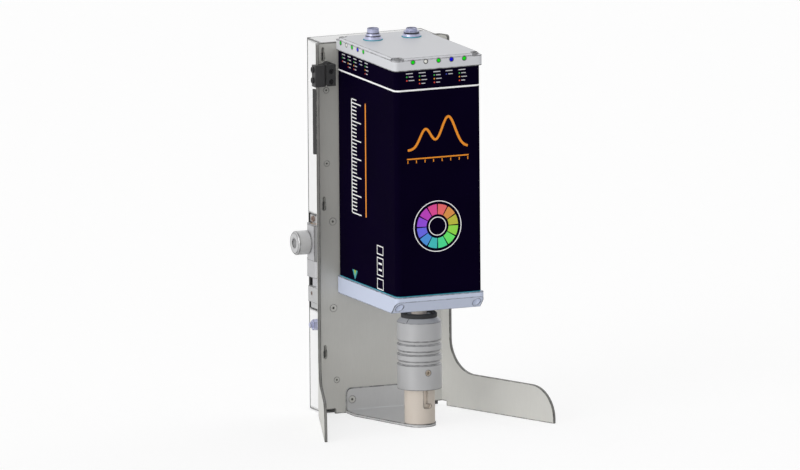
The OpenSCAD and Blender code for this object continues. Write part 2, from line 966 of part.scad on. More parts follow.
module return_spring() {
    points = [for (i = [0:spring_steps]) each spring_ring(i)];
    last = spring_steps * wire_sides;
    sides = [for (i = [0:spring_steps - 1], k = [0:wire_sides - 1])
        let (a = i * wire_sides, k2 = (k + 1) % wire_sides)
        each [[a + k, a + wire_sides + k2, a + k2], [a + k, a + wire_sides + k, a + wire_sides + k2]]];
    ends = [
        for (k = [1:wire_sides - 2])
            each [[0, k, k + 1], [last, last + k + 1, last + k]]];
    color([0.7, 0.7, 0.72])
        polyhedron(points, concat(sides, ends));
}

// Carriage that carries the head
module end_plan() {
    polygon([
        [-carriage_out, carriage_front], [-block_x1, carriage_front],
        [-block_x1, carriage_back], [-carriage_out + 4, carriage_back],
        [-carriage_out, column_y + 1.4]]);
}

module skirt_plan() {
    w = carriage_out - 1 - block_x1;
    d = carriage_back - 1 - carriage_front;
    translate([-carriage_out + 1 + w / 2, carriage_front + d / 2])
        round_rect(w, d, 6);
}

module carriage() {
    color([0.72, 0.72, 0.73])
        difference() {
            union() {
                translate([0, 0, carriage_z])
                    linear_extrude(carriage_skirt + cut)
                        skirt_plan();
                translate([0, 0, carriage_main_z])
                    linear_extrude(carriage_h)
                        end_plan();
                translate([-block_x1 - cut, beam_front, carriage_main_z])
                    cube([2 * block_x1 + 2 * cut, beam_d, carriage_h]);
                translate([block_x1, beam_front, carriage_main_z])
                    cube([inside_half - block_x1, column_y + rod_wall - beam_front, carriage_h]);
                translate([-arm_half, body_back, arm_z])
                    cube([2 * arm_half, beam_front - body_back + cut, arm_h]);
            }
            translate([-column_x, column_y, carriage_z - cut]) {
                cylinder(r = column_r + 1, h = carriage_top - carriage_z + 2 * cut);
                cylinder(r = bush_r, h = bush_len + cut);
                translate([0, 0, carriage_top - carriage_z + cut - bush_len])
                    cylinder(r = bush_r, h = bush_len + cut);
            }
            translate([rod_x, column_y, carriage_main_z - cut])
                cylinder(r = rod_r + run, h = carriage_h + 2 * cut);
            translate([-carriage_out - cut, column_y, clamp_z])
                along_x()
                    cylinder(r = clamp_r + run, h = carriage_out - column_x);
            for (p = head_screw_xz)
                translate([p[0], beam_back + cut, p[1]])
                    along_minus_y() {
                        cylinder(r = m5[0] + hole_play, h = beam_back - body_back + 2 * cut);
                        cylinder(r = m5[1] + 0.4, h = head_seat_deep + cut);
                    }
        }
}

module carriage_bushes() {
    color([0.72, 0.52, 0.32])
        for (z = [carriage_z, carriage_top - bush_len])
            translate([-column_x, column_y, z])
                difference() {
                    cylinder(r = bush_r, h = bush_len);
                    translate([0, 0, -cut])
                        cylinder(r = column_r + run, h = bush_len + 2 * cut);
                }
}

module head_screws() {
    seat = beam_back - head_seat_deep;
    color([0.35, 0.35, 0.36])
        for (p = head_screw_xz)
            translate([p[0], seat, p[1]])
                along_minus_y()
                    cap_screw(m5, seat - body_back + head_wall + plate_t - 1, 5);
}

module head_mount_plate() {
    inner = body_back - head_wall;
    color([0.7, 0.7, 0.72])
        difference() {
            translate([-plate_w / 2, inner - plate_t, arm_z])
                cube([plate_w, plate_t, arm_h]);
            for (p = head_screw_xz)
                translate([p[0], inner + cut, p[1]])
                    along_minus_y()
                        cylinder(r = m5[0], h = plate_t + 2 * cut);
        }
}

// Shells of the head
module at_body() {
    translate([0, body_mid, 0])
        children();
}

module head_housing() {
    z0 = body_z + gasket_t;
    h = head_h - 2 * gasket_t;
    color([0.03, 0.02, 0.1])
        difference() {
            translate([0, 0, z0])
                linear_extrude(h)
                    difference() {
                        union() {
                            at_body()
                                difference() {
                                    round_rect(head_w, head_d, head_corner);
                                    round_rect(head_w - 2 * head_wall, head_d - 2 * head_wall, head_corner - head_wall);
                                }
                            intersection() {
                                at_body()
                                    round_rect(head_w, head_d, head_corner);
                                for (p = corner_xy)
                                    translate(p)
                                        circle(corner_boss_r);
                            }
                        }
                        for (p = corner_xy)
                            translate(p)
                                circle(m4[0]);
                    }
            for (p = head_screw_xz)
                translate([p[0], body_back + cut, p[1]])
                    along_minus_y()
                        cylinder(r = m5[0] + hole_play, h = head_wall + 2 * cut);
        }
}

module gasket_plan() {
    at_body()
        difference() {
            round_rect(head_w - 0.6, head_d - 0.6, head_corner - 0.3);
            round_rect(head_w - 2 * head_wall, head_d - 2 * head_wall, head_corner - head_wall);
            for (p = corner_xy)
                translate([p[0], p[1] - body_mid])
                    circle(m4[0] + hole_play);
        }
}

module bottom_gasket() {
    color([0.1, 0.25, 0.28])
        translate([0, 0, body_z])
            linear_extrude(gasket_t)
                gasket_plan();
}

module top_gasket() {
    color([0.1, 0.1, 0.1])
        translate([0, 0, body_top - gasket_t])
            linear_extrude(gasket_t)
                gasket_plan();
}

// Outline of both covers, flush with the body's back
module rim_plan() {
    translate([0, rim_mid])
        round_rect(rim_w, rim_d, cover_corner);
}

// Hollow under or over a cover's plate, clear of the corner screws
module pocket_plan(front_land, boss_r) {
    difference() {
        translate([0, rim_mid + (front_land - rim_land) / 2])
            round_rect(rim_w - 2 * rim_land, rim_d - rim_land - front_land, 3);
        for (p = corner_xy)
            translate(p)
                circle(boss_r);
    }
}

// Ledge for a corner screw, open to the cover's corner
module notch_plan(p) {
    far = 20;
    sx = sign(p[0]);
    sy = sign(p[1] - rim_mid);
    corner = concat(arc([0, 0], notch_r, 180, 270, 12), [[far, -notch_r], [far, far], [-notch_r, far]]);
    polygon([for (q = corner) [p[0] + sx * q[0], p[1] + sy * q[1]]]);
}

// What the bevel takes from an edge of the given length along X, with its face at y = 0
module edge_waste(length) {
    translate([-length / 2, 0, 0])
        rotate([90, 0, 90])
            linear_extrude(length)
                polygon([
                    [-cut, -edge_drop * (1 + cut / edge_in)],
                    [edge_in * (1 + cut / edge_drop), cut], [-cut, cut]]);
}

module edge_wastes() {
    translate([0, rim_front, 0])
        edge_waste(rim_w + 2 * cut);
    translate([0, body_back, 0])
        rotate([0, 0, 180])
            edge_waste(rim_w + 2 * cut);
    for (side = [-1, 1])
        translate([side * rim_w / 2, rim_mid, 0])
            rotate([0, 0, side * 90])
                edge_waste(rim_d + 2 * cut);
}

module top_cover() {
    color([0.8, 0.8, 0.81])
        difference() {
            translate([0, 0, body_top])
                linear_extrude(top_cover_h)
                    rim_plan();
            translate([0, 0, head_top])
                edge_wastes();
            translate([0, 0, head_top - notch_deep])
                linear_extrude(notch_deep + cut)
                    for (p = corner_xy)
                        notch_plan(p);
            translate([0, 0, body_top - cut])
                linear_extrude(top_cover_h - cover_skin + cut)
                    pocket_plan(rim_land, corner_boss_r);
            for (p = corner_xy)
                translate([p[0], p[1], body_top - cut])
                    cylinder(r = m4[0] + hole_play, h = top_cover_h + 2 * cut);
            for (s = [-1, 1])
                translate([s * connector_gap / 2, connector_y, head_top - cover_skin - cut])
                    cylinder(r = connector_r + hole_play, h = cover_skin + 2 * cut);
            lamp_row([0:4], cut)
                cylinder(r = lamp_r + 0.1, h = lamp_seat + 2 * cut);
        }
}

// Places on the front and left rims, with +Z pointing into the cover
module lamp_row(which, out) {
    for (i = which) {
        translate([lamp_x0 + i * lamp_pitch, rim_front - out, lamp_z])
            along_y()
                children();
        translate([-rim_w / 2 - out, lamp_y0 - i * side_lamp_pitch, lamp_z])
            along_x()
                children();
    }
}

module lamp() {
    cylinder(r1 = lamp_r - 0.6, r2 = lamp_r, h = 0.6);
    translate([0, 0, 0.6])
        cylinder(r = lamp_r, h = lamp_seat - 0.3);
}

module green_lamps() {
    color([0, 0.6, 0.1])
        lamp_row(green, 0.3)
            lamp();
}

module white_lamps() {
    color([0.95, 0.95, 0.95])
        lamp_row(white, 0.3)
            lamp();
}

module blue_lamps() {
    color([0, 0, 0.7])
        lamp_row(blue, 0.3)
            lamp();
}

module lamp_board() {
    z0 = body_top + 1;
    h = top_cover_h - cover_skin - 1.5;
    side = 4.5;
    color([0.1, 0.35, 0.2]) {
        translate([lamp_x0 - side, rim_front + rim_land, z0])
            cube([4 * lamp_pitch + 2 * side, board_t, h]);
        translate([-rim_w / 2 + rim_land, lamp_y0 - 4 * side_lamp_pitch - side, z0])
            cube([board_t, 4 * side_lamp_pitch + side + 0.5, h]);
    }
}

module top_cover_screws() {
    color([0.7, 0.7, 0.72])
        for (p = corner_xy)
            translate([p[0], p[1], head_top - notch_deep])
                mirror([0, 0, 1])
                    cap_screw(m4, 22, 2);
}

module bottom_cover() {
    color([0.74, 0.77, 0.86])
        difference() {
            translate([0, 0, head_z])
                linear_extrude(bottom_cover_h)
                    rim_plan();
            translate([-rim_w / 2 - cut, rim_front, head_z])
                rotate([0, 90, 0])
                    linear_extrude(rim_w + 2 * cut)
                        polygon([
                            [-bottom_chamfer, -cut], [-bottom_chamfer, 0], [0, bottom_chamfer],
                            [cut, bottom_chamfer + cut], [cut, -cut]]);
            translate([0, 0, floor_z])
                linear_extrude(bottom_cover_h)
                    pocket_plan(bottom_chamfer + 4, corner_boss_r + 1);
            for (p = corner_xy)
                translate([p[0], p[1], head_z - cut]) {
                    cylinder(r = m4[0] + hole_play, h = bottom_cover_h + 2 * cut);
                    cylinder(r = m4[1] + 0.6, h = cut + screw_well);
                }
            translate([0, 0, head_z - cut])
                cylinder(r = nose_r, h = floor_t + 2 * cut);
        }
}

module bottom_cover_screws() {
    color([0.7, 0.7, 0.72])
        for (p = corner_xy)
            translate([p[0], p[1], head_z + screw_well])
                cap_screw(m4, 20, 3.6);
}

// Connectors on the top cover
module connector_shell(profile) {
    translate([0, 0, head_top])
        rotate_extrude()
            polygon(profile);
}

module power_connector() {
    r = connector_r;
    f = connector_flange_r;
    color([0.70, 0.71, 0.80])
        translate([-connector_gap / 2, connector_y, 0])
            connector_shell([
                [0, -7], [r, -7], [r, 0], [f, 0], [f, 1.2], [f - 1.4, 4], [r + 0.5, 4],
                [r + 0.5, 4.6], [r + 1.5, 4.6], [r + 0.8, 7.1], [r - 0.5, 7.1], [r - 0.5, 7.6],
                [r, 7.6], [r, 12.3], [r - 0.4, 12.7], [r - 1.2, 12.7], [r - 1.2, 5.5], [0, 5.5]]);
}

module data_connector() {
    r = connector_r;
    f = connector_flange_r;
    color([0.70, 0.71, 0.80])
        translate([connector_gap / 2, connector_y, 0])
            connector_shell([
                [0, -7], [r, -7], [r, 0], [f, 0], [f, 1.3], [f - 0.8, 3.6], [r + 1.4, 3.9],
                [r + 1.4, 5.2], [r + 2.2, 5.2], [r + 2.2, 6.4], [r - 0.4, 6.4],
                [r - 0.4, 9.2], [r - 0.8, 9.6], [r - 1.4, 9.6], [r - 1.4, 3.5], [0, 3.5]]);
}

module connector_inserts() {
    pins = [for (a = [45:90:315]) 2.2 * [cos(a), sin(a)]];
    color([0.12, 0.12, 0.12]) {
        translate([-connector_gap / 2, connector_y, head_top + 5.5]) {
            cylinder(r = connector_r - 1.3, h = 1.5);
            for (p = pins)
                translate(p)
                    cylinder(r = 0.5, h = 5);
        }
        translate([connector_gap / 2, connector_y, head_top + 3.5])
            difference() {
                cylinder(r = connector_r - 1.5, h = 4.6);
                for (p = pins)
                    translate([p[0], p[1], 1])
                        cylinder(r = 0.55, h = 5);
            }
    }
}

module connector_nuts() {
    color([0.7, 0.7, 0.72])
        for (s = [-1, 1])
            translate([s * connector_gap / 2, connector_y, head_top - cover_skin - 3])
                difference() {
                    cylinder(r = connector_r + 3, h = 3, $fn = 6);
                    translate([0, 0, -cut])
                        cylinder(r = connector_r, h = 3 + 2 * cut);
                }
}

// Optics and electronics inside the head
module nose_tube() {
    bore_r = nose_r - 2.25;
    tip = head_z - nose_len;
    color([0.86, 0.82, 0.77])
        rotate_extrude()
            polygon([
                [bore_r, tip], [nose_r - 0.5, tip], [nose_r, tip + 0.5],
                [nose_r, floor_z], [nose_r + 3, floor_z], [nose_r + 3, floor_z + 2],
                [glass_r, floor_z + 2], [glass_r, floor_z + 1], [bore_r, floor_z + 1]]);
}

module window_glass() {
    color([0.7, 0.85, 0.9])
        translate([0, 0, floor_z + 1])
            cylinder(r = glass_r, h = 1.2);
}

module optic_block() {
    color([0.25, 0.25, 0.27])
        difference() {
            translate([0, 2, optic_z])
                linear_extrude(optic_h)
                    round_rect(optic_w, optic_w + 4, 3);
            translate([0, 0, optic_z - cut])
                cylinder(r = chamber_r, h = 14.5 + cut);
            translate([0, 0, optic_z - cut])
                cylinder(r = 9, h = optic_h + 2 * cut);
        }
}

module illumination_ring() {
    color([0.9, 0.9, 0.7])
        translate([0, 0, optic_z + 10.5])
            difference() {
                cylinder(r = chamber_r, h = 4);
                translate([0, 0, -cut])
                    cylinder(r1 = 10.5, r2 = 8, h = 4 + 2 * cut);
            }
}

module objective_lens() {
    sphere_r = 22;
    color([0.7, 0.85, 0.9])
        translate([0, 0, optic_z + 26])
            intersection() {
                translate([0, 0, sphere_r - 3.2])
                    sphere(sphere_r);
                translate([0, 0, 3.2 - sphere_r])
                    sphere(sphere_r);
                cylinder(r = 9, h = 10, center = true);
            }
}

module spectrometer_module() {
    cap_h = 8;
    color([0.3, 0.3, 0.33])
        translate([0, 7, optic_z + optic_h])
            difference() {
                union() {
                    linear_extrude(module_h - cap_h)
                        round_rect(optic_w, module_d, 4);
                    translate([0, 0, module_h - cap_h])
                        linear_extrude(cap_h)
                            round_rect(optic_w - 6, module_d - 6, 4);
                }
                translate([0, -7, -cut])
                    cylinder(r = 2, h = 12);
            }
}

module main_board() {
    y0 = body_back - head_wall - spacer_len - board_t;
    color([0.1, 0.35, 0.2]) {
        translate([-board_w / 2, y0, board_z])
            cube([board_w, board_t, board_h]);
        for (b = [[-30, 20, 24, 10, 8], [8, 30, 18, 18, 3], [8, 70, 22, 22, 4],
                  [-28, 70, 14, 30, 6], [-30, 120, 60, 12, 9]])
            translate([b[0], y0 - b[4], board_z + b[1]])
                cube([b[2], b[4] + board_t / 2, b[3]]);
    }
}

module board_spacers() {
    color([0.75, 0.75, 0.77])
        for (x = [-1, 1], z = [5, board_h - 5])
            translate([x * (board_w / 2 - 5), body_back - head_wall, board_z + z])
                along_minus_y()
                    cylinder(r = 3, h = spacer_len);
}

// Knob, screw and shoe that clamp the carriage to the column
module at_clamp() {
    translate([0, column_y, clamp_z])
        rotate([0, -90, 0])
            children();
}

module clamp_shoe() {
    color([0.8, 0.65, 0.3])
        at_clamp()
            translate([0, 0, shoe_x])
                cylinder(r = shoe_r, h = shoe_t);
}

module clamp_screw() {
    tip = shoe_x + shoe_t;
    color([0.6, 0.6, 0.62])
        at_clamp()
            translate([0, 0, tip])
                cylinder(r = clamp_r, h = knob_back + 8 - tip);
}

module clamp_knob() {
    bevel = 1.6;
    color([0.68, 0.68, 0.68])
        at_clamp()
            translate([0, 0, knob_back])
                difference() {
                    rotate_extrude()
                        polygon([
                            [0, 0], [knob_r - 0.6, 0], [knob_r, 0.6], [knob_r, knob_len - bevel],
                            [knob_r - 1.7, knob_len], [0, knob_len]]);
                    translate([0, 0, -cut])
                        cylinder(r = clamp_r, h = 8 + cut);
                    translate([0, 0, knob_len - 6])
                        cylinder(r = 5, h = 6 + cut);
                }
}

stand_frame();
rear_cover();
cover_screws();
base_bracket();
bracket_screws();
guide_column();
column_top_block();
column_bottom_block();
column_screws();
steady_rod();
steady_rod_blocks();
block_screws();
earth_stud();
earth_nut();
cable_clamp_base();
cable_clamp_jaw();
cable_clamp_screws();
jaw_screws();
cable_guide();
adapter_tube();
tube_screws();
return_spring();
adapter_sleeve();
seal_ring();
guide_screw();
carriage();
carriage_bushes();
head_screws();
head_mount_plate();
head_housing();
top_gasket();
bottom_gasket();
top_cover();
bottom_cover();
top_cover_screws();
bottom_cover_screws();
green_lamps();
white_lamps();
blue_lamps();
lamp_board();
power_connector();
data_connector();
connector_inserts();
connector_nuts();
nose_tube();
window_glass();
optic_block();
illumination_ring();
objective_lens();
spectrometer_module();
main_board();
board_spacers();
clamp_shoe();
clamp_knob();
clamp_screw();
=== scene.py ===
"""Looks of the benchtop spectrophotometer: materials, printed marks, small trim, light and camera.

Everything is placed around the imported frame. Lengths are in mm and angles in degrees, unless a
comment says otherwise.
"""

import json
import math

import bmesh
import bpy
from mathutils import Matrix, Vector


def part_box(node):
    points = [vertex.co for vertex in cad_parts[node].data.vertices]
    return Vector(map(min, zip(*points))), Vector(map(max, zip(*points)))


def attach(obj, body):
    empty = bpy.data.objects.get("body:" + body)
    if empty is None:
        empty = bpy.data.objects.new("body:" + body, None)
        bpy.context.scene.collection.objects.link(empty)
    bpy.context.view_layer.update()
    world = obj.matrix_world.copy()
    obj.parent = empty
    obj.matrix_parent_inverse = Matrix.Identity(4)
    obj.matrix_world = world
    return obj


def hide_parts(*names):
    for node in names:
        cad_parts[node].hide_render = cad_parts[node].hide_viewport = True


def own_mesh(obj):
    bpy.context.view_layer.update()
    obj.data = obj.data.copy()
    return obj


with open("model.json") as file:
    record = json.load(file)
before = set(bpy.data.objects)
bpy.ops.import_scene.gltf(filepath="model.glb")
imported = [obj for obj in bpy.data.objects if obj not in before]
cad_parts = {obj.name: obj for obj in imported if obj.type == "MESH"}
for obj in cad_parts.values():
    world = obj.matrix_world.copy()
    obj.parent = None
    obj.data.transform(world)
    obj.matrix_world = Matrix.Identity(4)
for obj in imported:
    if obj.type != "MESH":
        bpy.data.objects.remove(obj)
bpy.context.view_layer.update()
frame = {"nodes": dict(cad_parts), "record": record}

MM = 0.001

# Head
BODY_HALF = 50
BODY_FRONT = -57
BODY_BACK = 102.6
BODY_CORNER = 6
COVER_OUT = 2
HEAD_TOP = 411.5
PRINT_T = 0.12
PRINT_SUNK = 0.15

# Outward turn of the stand's wings, then the rear cover's outer faces
STAND_SPLAY = 21
REAR_HALF = 67
REAR_BACK = 145

# Photograph's view: an orthographic camera
VIEW_AZIMUTH = -23.22
VIEW_ELEVATION = 9.937
VIEW_ROLL = 0.455
VIEW_WIDTH = 859.8
VIEW_TARGET = (0, 28, 200)
VIEW_SHIFT = (-8.72, 2.64)
VIEW_DISTANCE = 2500
VIEW_DEPTH = 30000

# Suns: name, direction the light comes from, strength, softness, and whether it casts shadows
FROM_LEFT = (-0.855, -0.377, 0.358)
SUNS = (
    ("key", FROM_LEFT, 0.13, 40, True),
    ("bounce", FROM_LEFT, 0.41, 40, False),
    ("top", (0, 0, 1), 0.08, 60, True),
    ("fill", (0.75, 0.45, 0.35), 0.15, 60, True),
)
WORLD_LEVEL = 0.5

# Floor: half its side and its height in metres, then its glow to the camera and that glow's share
FLOOR_HALF = 20
FLOOR_Z = -0.0002
FLOOR_GLOW = 1.13
FLOOR_GLOW_SHARE = 0.55


def srgb(r, g, b):
    """Linear colour of an 8-bit sRGB colour."""
    def linear(c):
        c /= 255
        return c / 12.92 if c <= 0.04045 else ((c + 0.055) / 1.055) ** 2.4
    return (linear(r), linear(g), linear(b), 1)


def scaled(color, k):
    """The colour made `k` times as bright, up to full."""
    return tuple(min(1, c * k) for c in color[:3]) + (1,)


# Camera and light

def make_camera():
    a, e, roll = (math.radians(v) for v in (VIEW_AZIMUTH, VIEW_ELEVATION, VIEW_ROLL))
    back = Vector((math.sin(a) * math.cos(e), -math.cos(a) * math.cos(e), math.sin(e)))
    right = Vector((math.cos(a), math.sin(a), 0))
    up = back.cross(right)
    right, up = (right * math.cos(roll) - up * math.sin(roll),
                 right * math.sin(roll) + up * math.cos(roll))
    place = Vector(VIEW_TARGET) + right * VIEW_SHIFT[0] + up * VIEW_SHIFT[1] + back * VIEW_DISTANCE
    turn = Matrix((right, up, back)).transposed().to_4x4()
    data = bpy.data.cameras.new("camera")
    data.type = "ORTHO"
    data.ortho_scale = VIEW_WIDTH * MM
    data.clip_end = VIEW_DEPTH * MM
    camera = bpy.data.objects.new("camera", data)
    camera.matrix_world = Matrix.Translation(place * MM) @ turn
    bpy.context.scene.collection.objects.link(camera)
    bpy.context.scene.camera = camera


def make_sun(name, direction, strength, spread, shadow):
    """A sun that shines from `direction`, with `spread` degrees of softness."""
    data = bpy.data.lights.new(name, "SUN")
    data.use_shadow = shadow
    data.energy = strength * math.pi
    data.angle = math.radians(spread)
    light = bpy.data.objects.new(name, data)
    light.rotation_euler = Vector(direction).to_track_quat("Z", "Y").to_euler()
    bpy.context.scene.collection.objects.link(light)


def make_world(level):
    """A white world that lights the part at `level` and looks plain white itself."""
    world = bpy.data.worlds.new("studio")
    bpy.context.scene.world = world
    world.use_nodes = True
    tree = world.node_tree
    lit = tree.nodes["Background"]
    seen = tree.nodes.new("ShaderNodeBackground")
    for node, strength in ((lit, level), (seen, 1)):
        node.inputs["Color"].default_value = (1, 1, 1, 1)
        node.inputs["Strength"].default_value = strength
    path = tree.nodes.new("ShaderNodeLightPath")
    is_seen = path.outputs["Is Camera Ray"]
    for ray in ("Is Transmission Ray", "Is Glossy Ray"):
        either = tree.nodes.new("ShaderNodeMath")
        either.operation = "MAXIMUM"
        tree.links.new(is_seen, either.inputs[0])
        tree.links.new(path.outputs[ray], either.inputs[1])
        is_seen = either.outputs[0]
    mix = tree.nodes.new("ShaderNodeMixShader")
    for i, source in enumerate((is_seen, lit.outputs[0], seen.outputs[0])):
        tree.links.new(source, mix.inputs[i])
    tree.links.new(mix.outputs[0], tree.nodes["World Output"].inputs["Surface"])


def make_floor():
    """White floor that keeps the part's shadow and glows a little to the camera."""
    mesh = bpy.data.meshes.new("floor")
    corners = [(x * FLOOR_HALF, y * FLOOR_HALF, 0) for x, y in ((-1, -1), (1, -1), (1, 1), (-1, 1))]
    mesh.from_pydata(corners, [], [(0, 1, 2, 3)])
    floor = bpy.data.objects.new("floor", mesh)
    floor.location.z = FLOOR_Z
    bpy.context.scene.collection.objects.link(floor)
    surface = Surface("floor", srgb(250, 250, 250), roughness=0.9, specular=0.1)
    surface.speckle(0.004, 30, 0.01)
    glow = surface.add("ShaderNodeEmission")
    glow.inputs["Color"].default_value = (1, 1, 1, 1)
    glow.inputs["Strength"].default_value = FLOOR_GLOW
    path = surface.add("ShaderNodeLightPath")
    share = surface.math("MULTIPLY", path.outputs["Is Camera Ray"], FLOOR_GLOW_SHARE)
    mix = surface.add("ShaderNodeMixShader")
    for i, source in enumerate((share, surface.bsdf.outputs[0], glow.outputs[0])):
        surface.link(source, mix.inputs[i])
    surface.link(mix.outputs[0], surface.tree.nodes["Material Output"].inputs["Surface"])
    mesh.materials.append(surface.material)


# Materials

SHADER_SAMPLES = 8

# Most values of a noise texture lie between these
NOISE_RANGE = (0.3, 0.7)

# Cosines of the turn of the normal where the line on an edge starts and where it is full
EDGE_TURN = (0.997, 0.965)

# Shares of the normal along a sheet's thickness where raw metal starts and where it is full
CUT_TURN = (0.22, 0.1)

# Size of the patches in a worn line, and the noise values where it is thinnest and where it is full
PATCH_SIZE = 6
PATCH_RANGE = (0.35, 0.6)


class Surface:
    """A Principled material. Each method adds one kind of detail over those before it."""

    def __init__(self, name, color, roughness=0.5, metallic=0.0, specular=0.5):
        self.material = bpy.data.materials.new(name)
        self.material.use_nodes = True
        self.tree = self.material.node_tree
        self.bsdf = self.tree.nodes["Principled BSDF"]
        self.material.diffuse_color = color
        self.base = color
        self.roughness = roughness
        self.color_out = None
        self.rough_out = None
        self.normal_out = None
        self.bsdf.inputs["Base Color"].default_value = color
        self.bsdf.inputs["Roughness"].default_value = roughness
        self.bsdf.inputs["Metallic"].default_value = metallic
        self.bsdf.inputs["Specular IOR Level"].default_value = specular
        self.place = self.add("ShaderNodeTexCoord").outputs["Object"]

    # Building blocks

    def add(self, kind):
        return self.tree.nodes.new(kind)

    def link(self, a, b):
        self.tree.links.new(a, b)

    def math(self, operation, a, b=None, clamp=False):
        node = self.add("ShaderNodeMath")
        node.operation = operation
        node.use_clamp = clamp
        for socket, value in zip(node.inputs, (a, b)):
            if value is None:
                continue
            if isinstance(value, (int, float)):
                socket.default_value = value
            else:
                self.link(value, socket)
        return node.outputs[0]

    def split(self, vector):
        """The X, Y and Z outputs of a vector."""
        node = self.add("ShaderNodeSeparateXYZ")
        self.link(vector, node.inputs[0])
        return node.outputs

    def spread(self, value, low, high, to_low=0.0, to_high=1.0):
        """Maps `low` to `to_low` and `high` to `to_high`, and clamps there."""
        node = self.add("ShaderNodeMapRange")
        self.link(value, node.inputs["Value"])
        ends = (("From Min", low), ("From Max", high), ("To Min", to_low), ("To Max", to_high))
        for key, v in ends:
            node.inputs[key].default_value = v
        return node.outputs["Result"]

    def noise(self, size, stretch=(1, 1, 1), *, detail, roughness=0.5):
        """Noise from 0 to 1 with features of about `size` mm, longer along an axis by `stretch`."""
        mapping = self.add("ShaderNodeMapping")
        mapping.inputs["Scale"].default_value = [1 / (size * MM * s) for s in stretch]
        self.link(self.place, mapping.inputs["Vector"])
        node = self.add("ShaderNodeTexNoise")
        node.inputs["Scale"].default_value = 1
        node.inputs["Detail"].default_value = detail
        node.inputs["Roughness"].default_value = roughness
        self.link(mapping.outputs[0], node.inputs["Vector"])
        return node.outputs["Fac"]

    # Changes of colour, gloss and relief

    def set_color(self, output):
        self.color_out = output
        self.link(output, self.bsdf.inputs["Base Color"])
        return self

    def tint(self, mask, color):
        """Mixes `color` over the surface where `mask` is 1."""
        mix = self.add("ShaderNodeMix")
        mix.data_type = "RGBA"
        factor, under, over = mix.inputs[0], mix.inputs[6], mix.inputs[7]
        self.link(mask, factor)
        if self.color_out is None:
            under.default_value = self.base
        else:
            self.link(self.color_out, under)
        over.default_value = color
        return self.set_color(mix.outputs[2])

    def shade(self, value, amount):
        """Makes the colour lighter and darker by `amount` with a value from 0 to 1."""
        factor = self.spread(value, *NOISE_RANGE, 1 - amount, 1 + amount)
        scale = self.add("ShaderNodeVectorMath")
        scale.operation = "SCALE"
        if self.color_out is None:
            scale.inputs[0].default_value = self.base[:3]
        else:
            self.link(self.color_out, scale.inputs[0])
        self.link(factor, scale.inputs["Scale"])
        return self.set_color(scale.outputs[0])

    def rough(self, value, amount):
        """Varies the roughness by `amount` with a value from 0 to 1."""
        change = self.spread(value, *NOISE_RANGE, -amount, amount)
        base = self.roughness if self.rough_out is None else self.rough_out
        self.rough_out = self.math("ADD", change, base, clamp=True)
        self.link(self.rough_out, self.bsdf.inputs["Roughness"])
        return self

    def bump(self, value, depth):
        """Raises the surface by up to `depth` mm with a value from 0 to 1."""
        node = self.add("ShaderNodeBump")
        node.inputs["Distance"].default_value = depth * MM
        node.inputs["Strength"].default_value = 1
        self.link(value, node.inputs["Height"])
        if self.normal_out is not None:
            self.link(self.normal_out, node.inputs["Normal"])
        self.normal_out = node.outputs[0]
        self.link(self.normal_out, self.bsdf.inputs["Normal"])
        return self

    # Edges, folds and painted shade in recesses

    def edge(self, radius):
        """1 on edges that `radius` mm of rounding would reach, 0 elsewhere."""
        rounded = self.add("ShaderNodeBevel")
        rounded.samples = SHADER_SAMPLES
        rounded.inputs["Radius"].default_value = radius * MM
        flat = self.add("ShaderNodeNewGeometry")
        dot = self.add("ShaderNodeVectorMath")
        dot.operation = "DOT_PRODUCT"
        self.link(rounded.outputs[0], dot.inputs[0])
        self.link(flat.outputs["Normal"], dot.inputs[1])
        return self.spread(dot.outputs["Value"], *EDGE_TURN)

    def worn_edges(self, radius, color, amount=1.0, thinnest=0.45):
        """A thin line of another colour on the edges, weakened by noise down to `thinnest`."""
        patchy = self.spread(self.noise(PATCH_SIZE, detail=4), *PATCH_RANGE, thinnest, 1)
        mask = self.math("MULTIPLY", self.edge(radius), patchy)
        return self.tint(self.math("MULTIPLY", mask, amount), color)

    def cut_edges(self, angle, color):
        """Raw metal on the cut edges of a sheet whose two wings splay by `angle`."""
        place = self.split(self.place)
        facing = self.split(self.add("ShaderNodeTexCoord").outputs["Normal"])
        turn = math.radians(angle)
        side = self.math("SIGN", place["X"])
        outward = self.math("MULTIPLY", side, facing["X"])
        across = self.math("ADD", self.math("MULTIPLY", outward, math.cos(turn)),
                           self.math("MULTIPLY", facing["Y"], math.sin(turn)))
        return self.tint(self.spread(self.math("ABSOLUTE", across), *CUT_TURN), color)

    def folds(self, half_width, back, reach, color):
        """Another colour round a box's two upright rear folds, `reach` mm to each side of them."""
        place = self.split(self.place)
        out = self.math("ABSOLUTE", place["X"])
        far_out = self.math("GREATER_THAN", out, (half_width - reach) * MM)
        far_back = self.math("GREATER_THAN", place["Y"], (back - reach) * MM)
        return self.tint(self.math("MULTIPLY", far_out, far_back), color)

    def painted_recess_shade(self, reach, color, open_share=0.75, shut_share=0.4, local=True):
        """Painted shade: another colour in sockets and recesses up to about `reach` mm wide, laid
        where ambient occlusion finds them shut in.
        """
        node = self.add("ShaderNodeAmbientOcclusion")
        node.samples = SHADER_SAMPLES
        node.only_local = local
        node.inputs["Distance"].default_value = reach * MM
        return self.tint(self.spread(node.outputs["AO"], open_share, shut_share), color)

    # Finishes

    def speckle(self, amount, size, depth):
        fine = self.noise(size, detail=2)
        return self.shade(fine, amount).bump(fine, depth)

    def blotches(self, amount, size):
        """Slow changes of tone and gloss, as handling and age leave."""
        slow = self.noise(size, detail=5, roughness=0.6)
        return self.shade(slow, amount).rough(slow, amount)

    def powder_coat(self, size=1.4, depth=0.035):
        """Orange peel of a sprayed or powder coating, with wider and deeper waves under it."""
        self.bump(self.noise(size, detail=2), depth)
        return self.bump(self.noise(size * 6, detail=1), depth * 2)

    def brushed(self, stretch, amount, size=0.35, depth=0.012):
        """Fine scratches along the axis that has the large `stretch`."""
        lines = self.noise(size, stretch, detail=4, roughness=0.65)
        return self.shade(lines, amount).rough(lines, amount).bump(lines, depth)

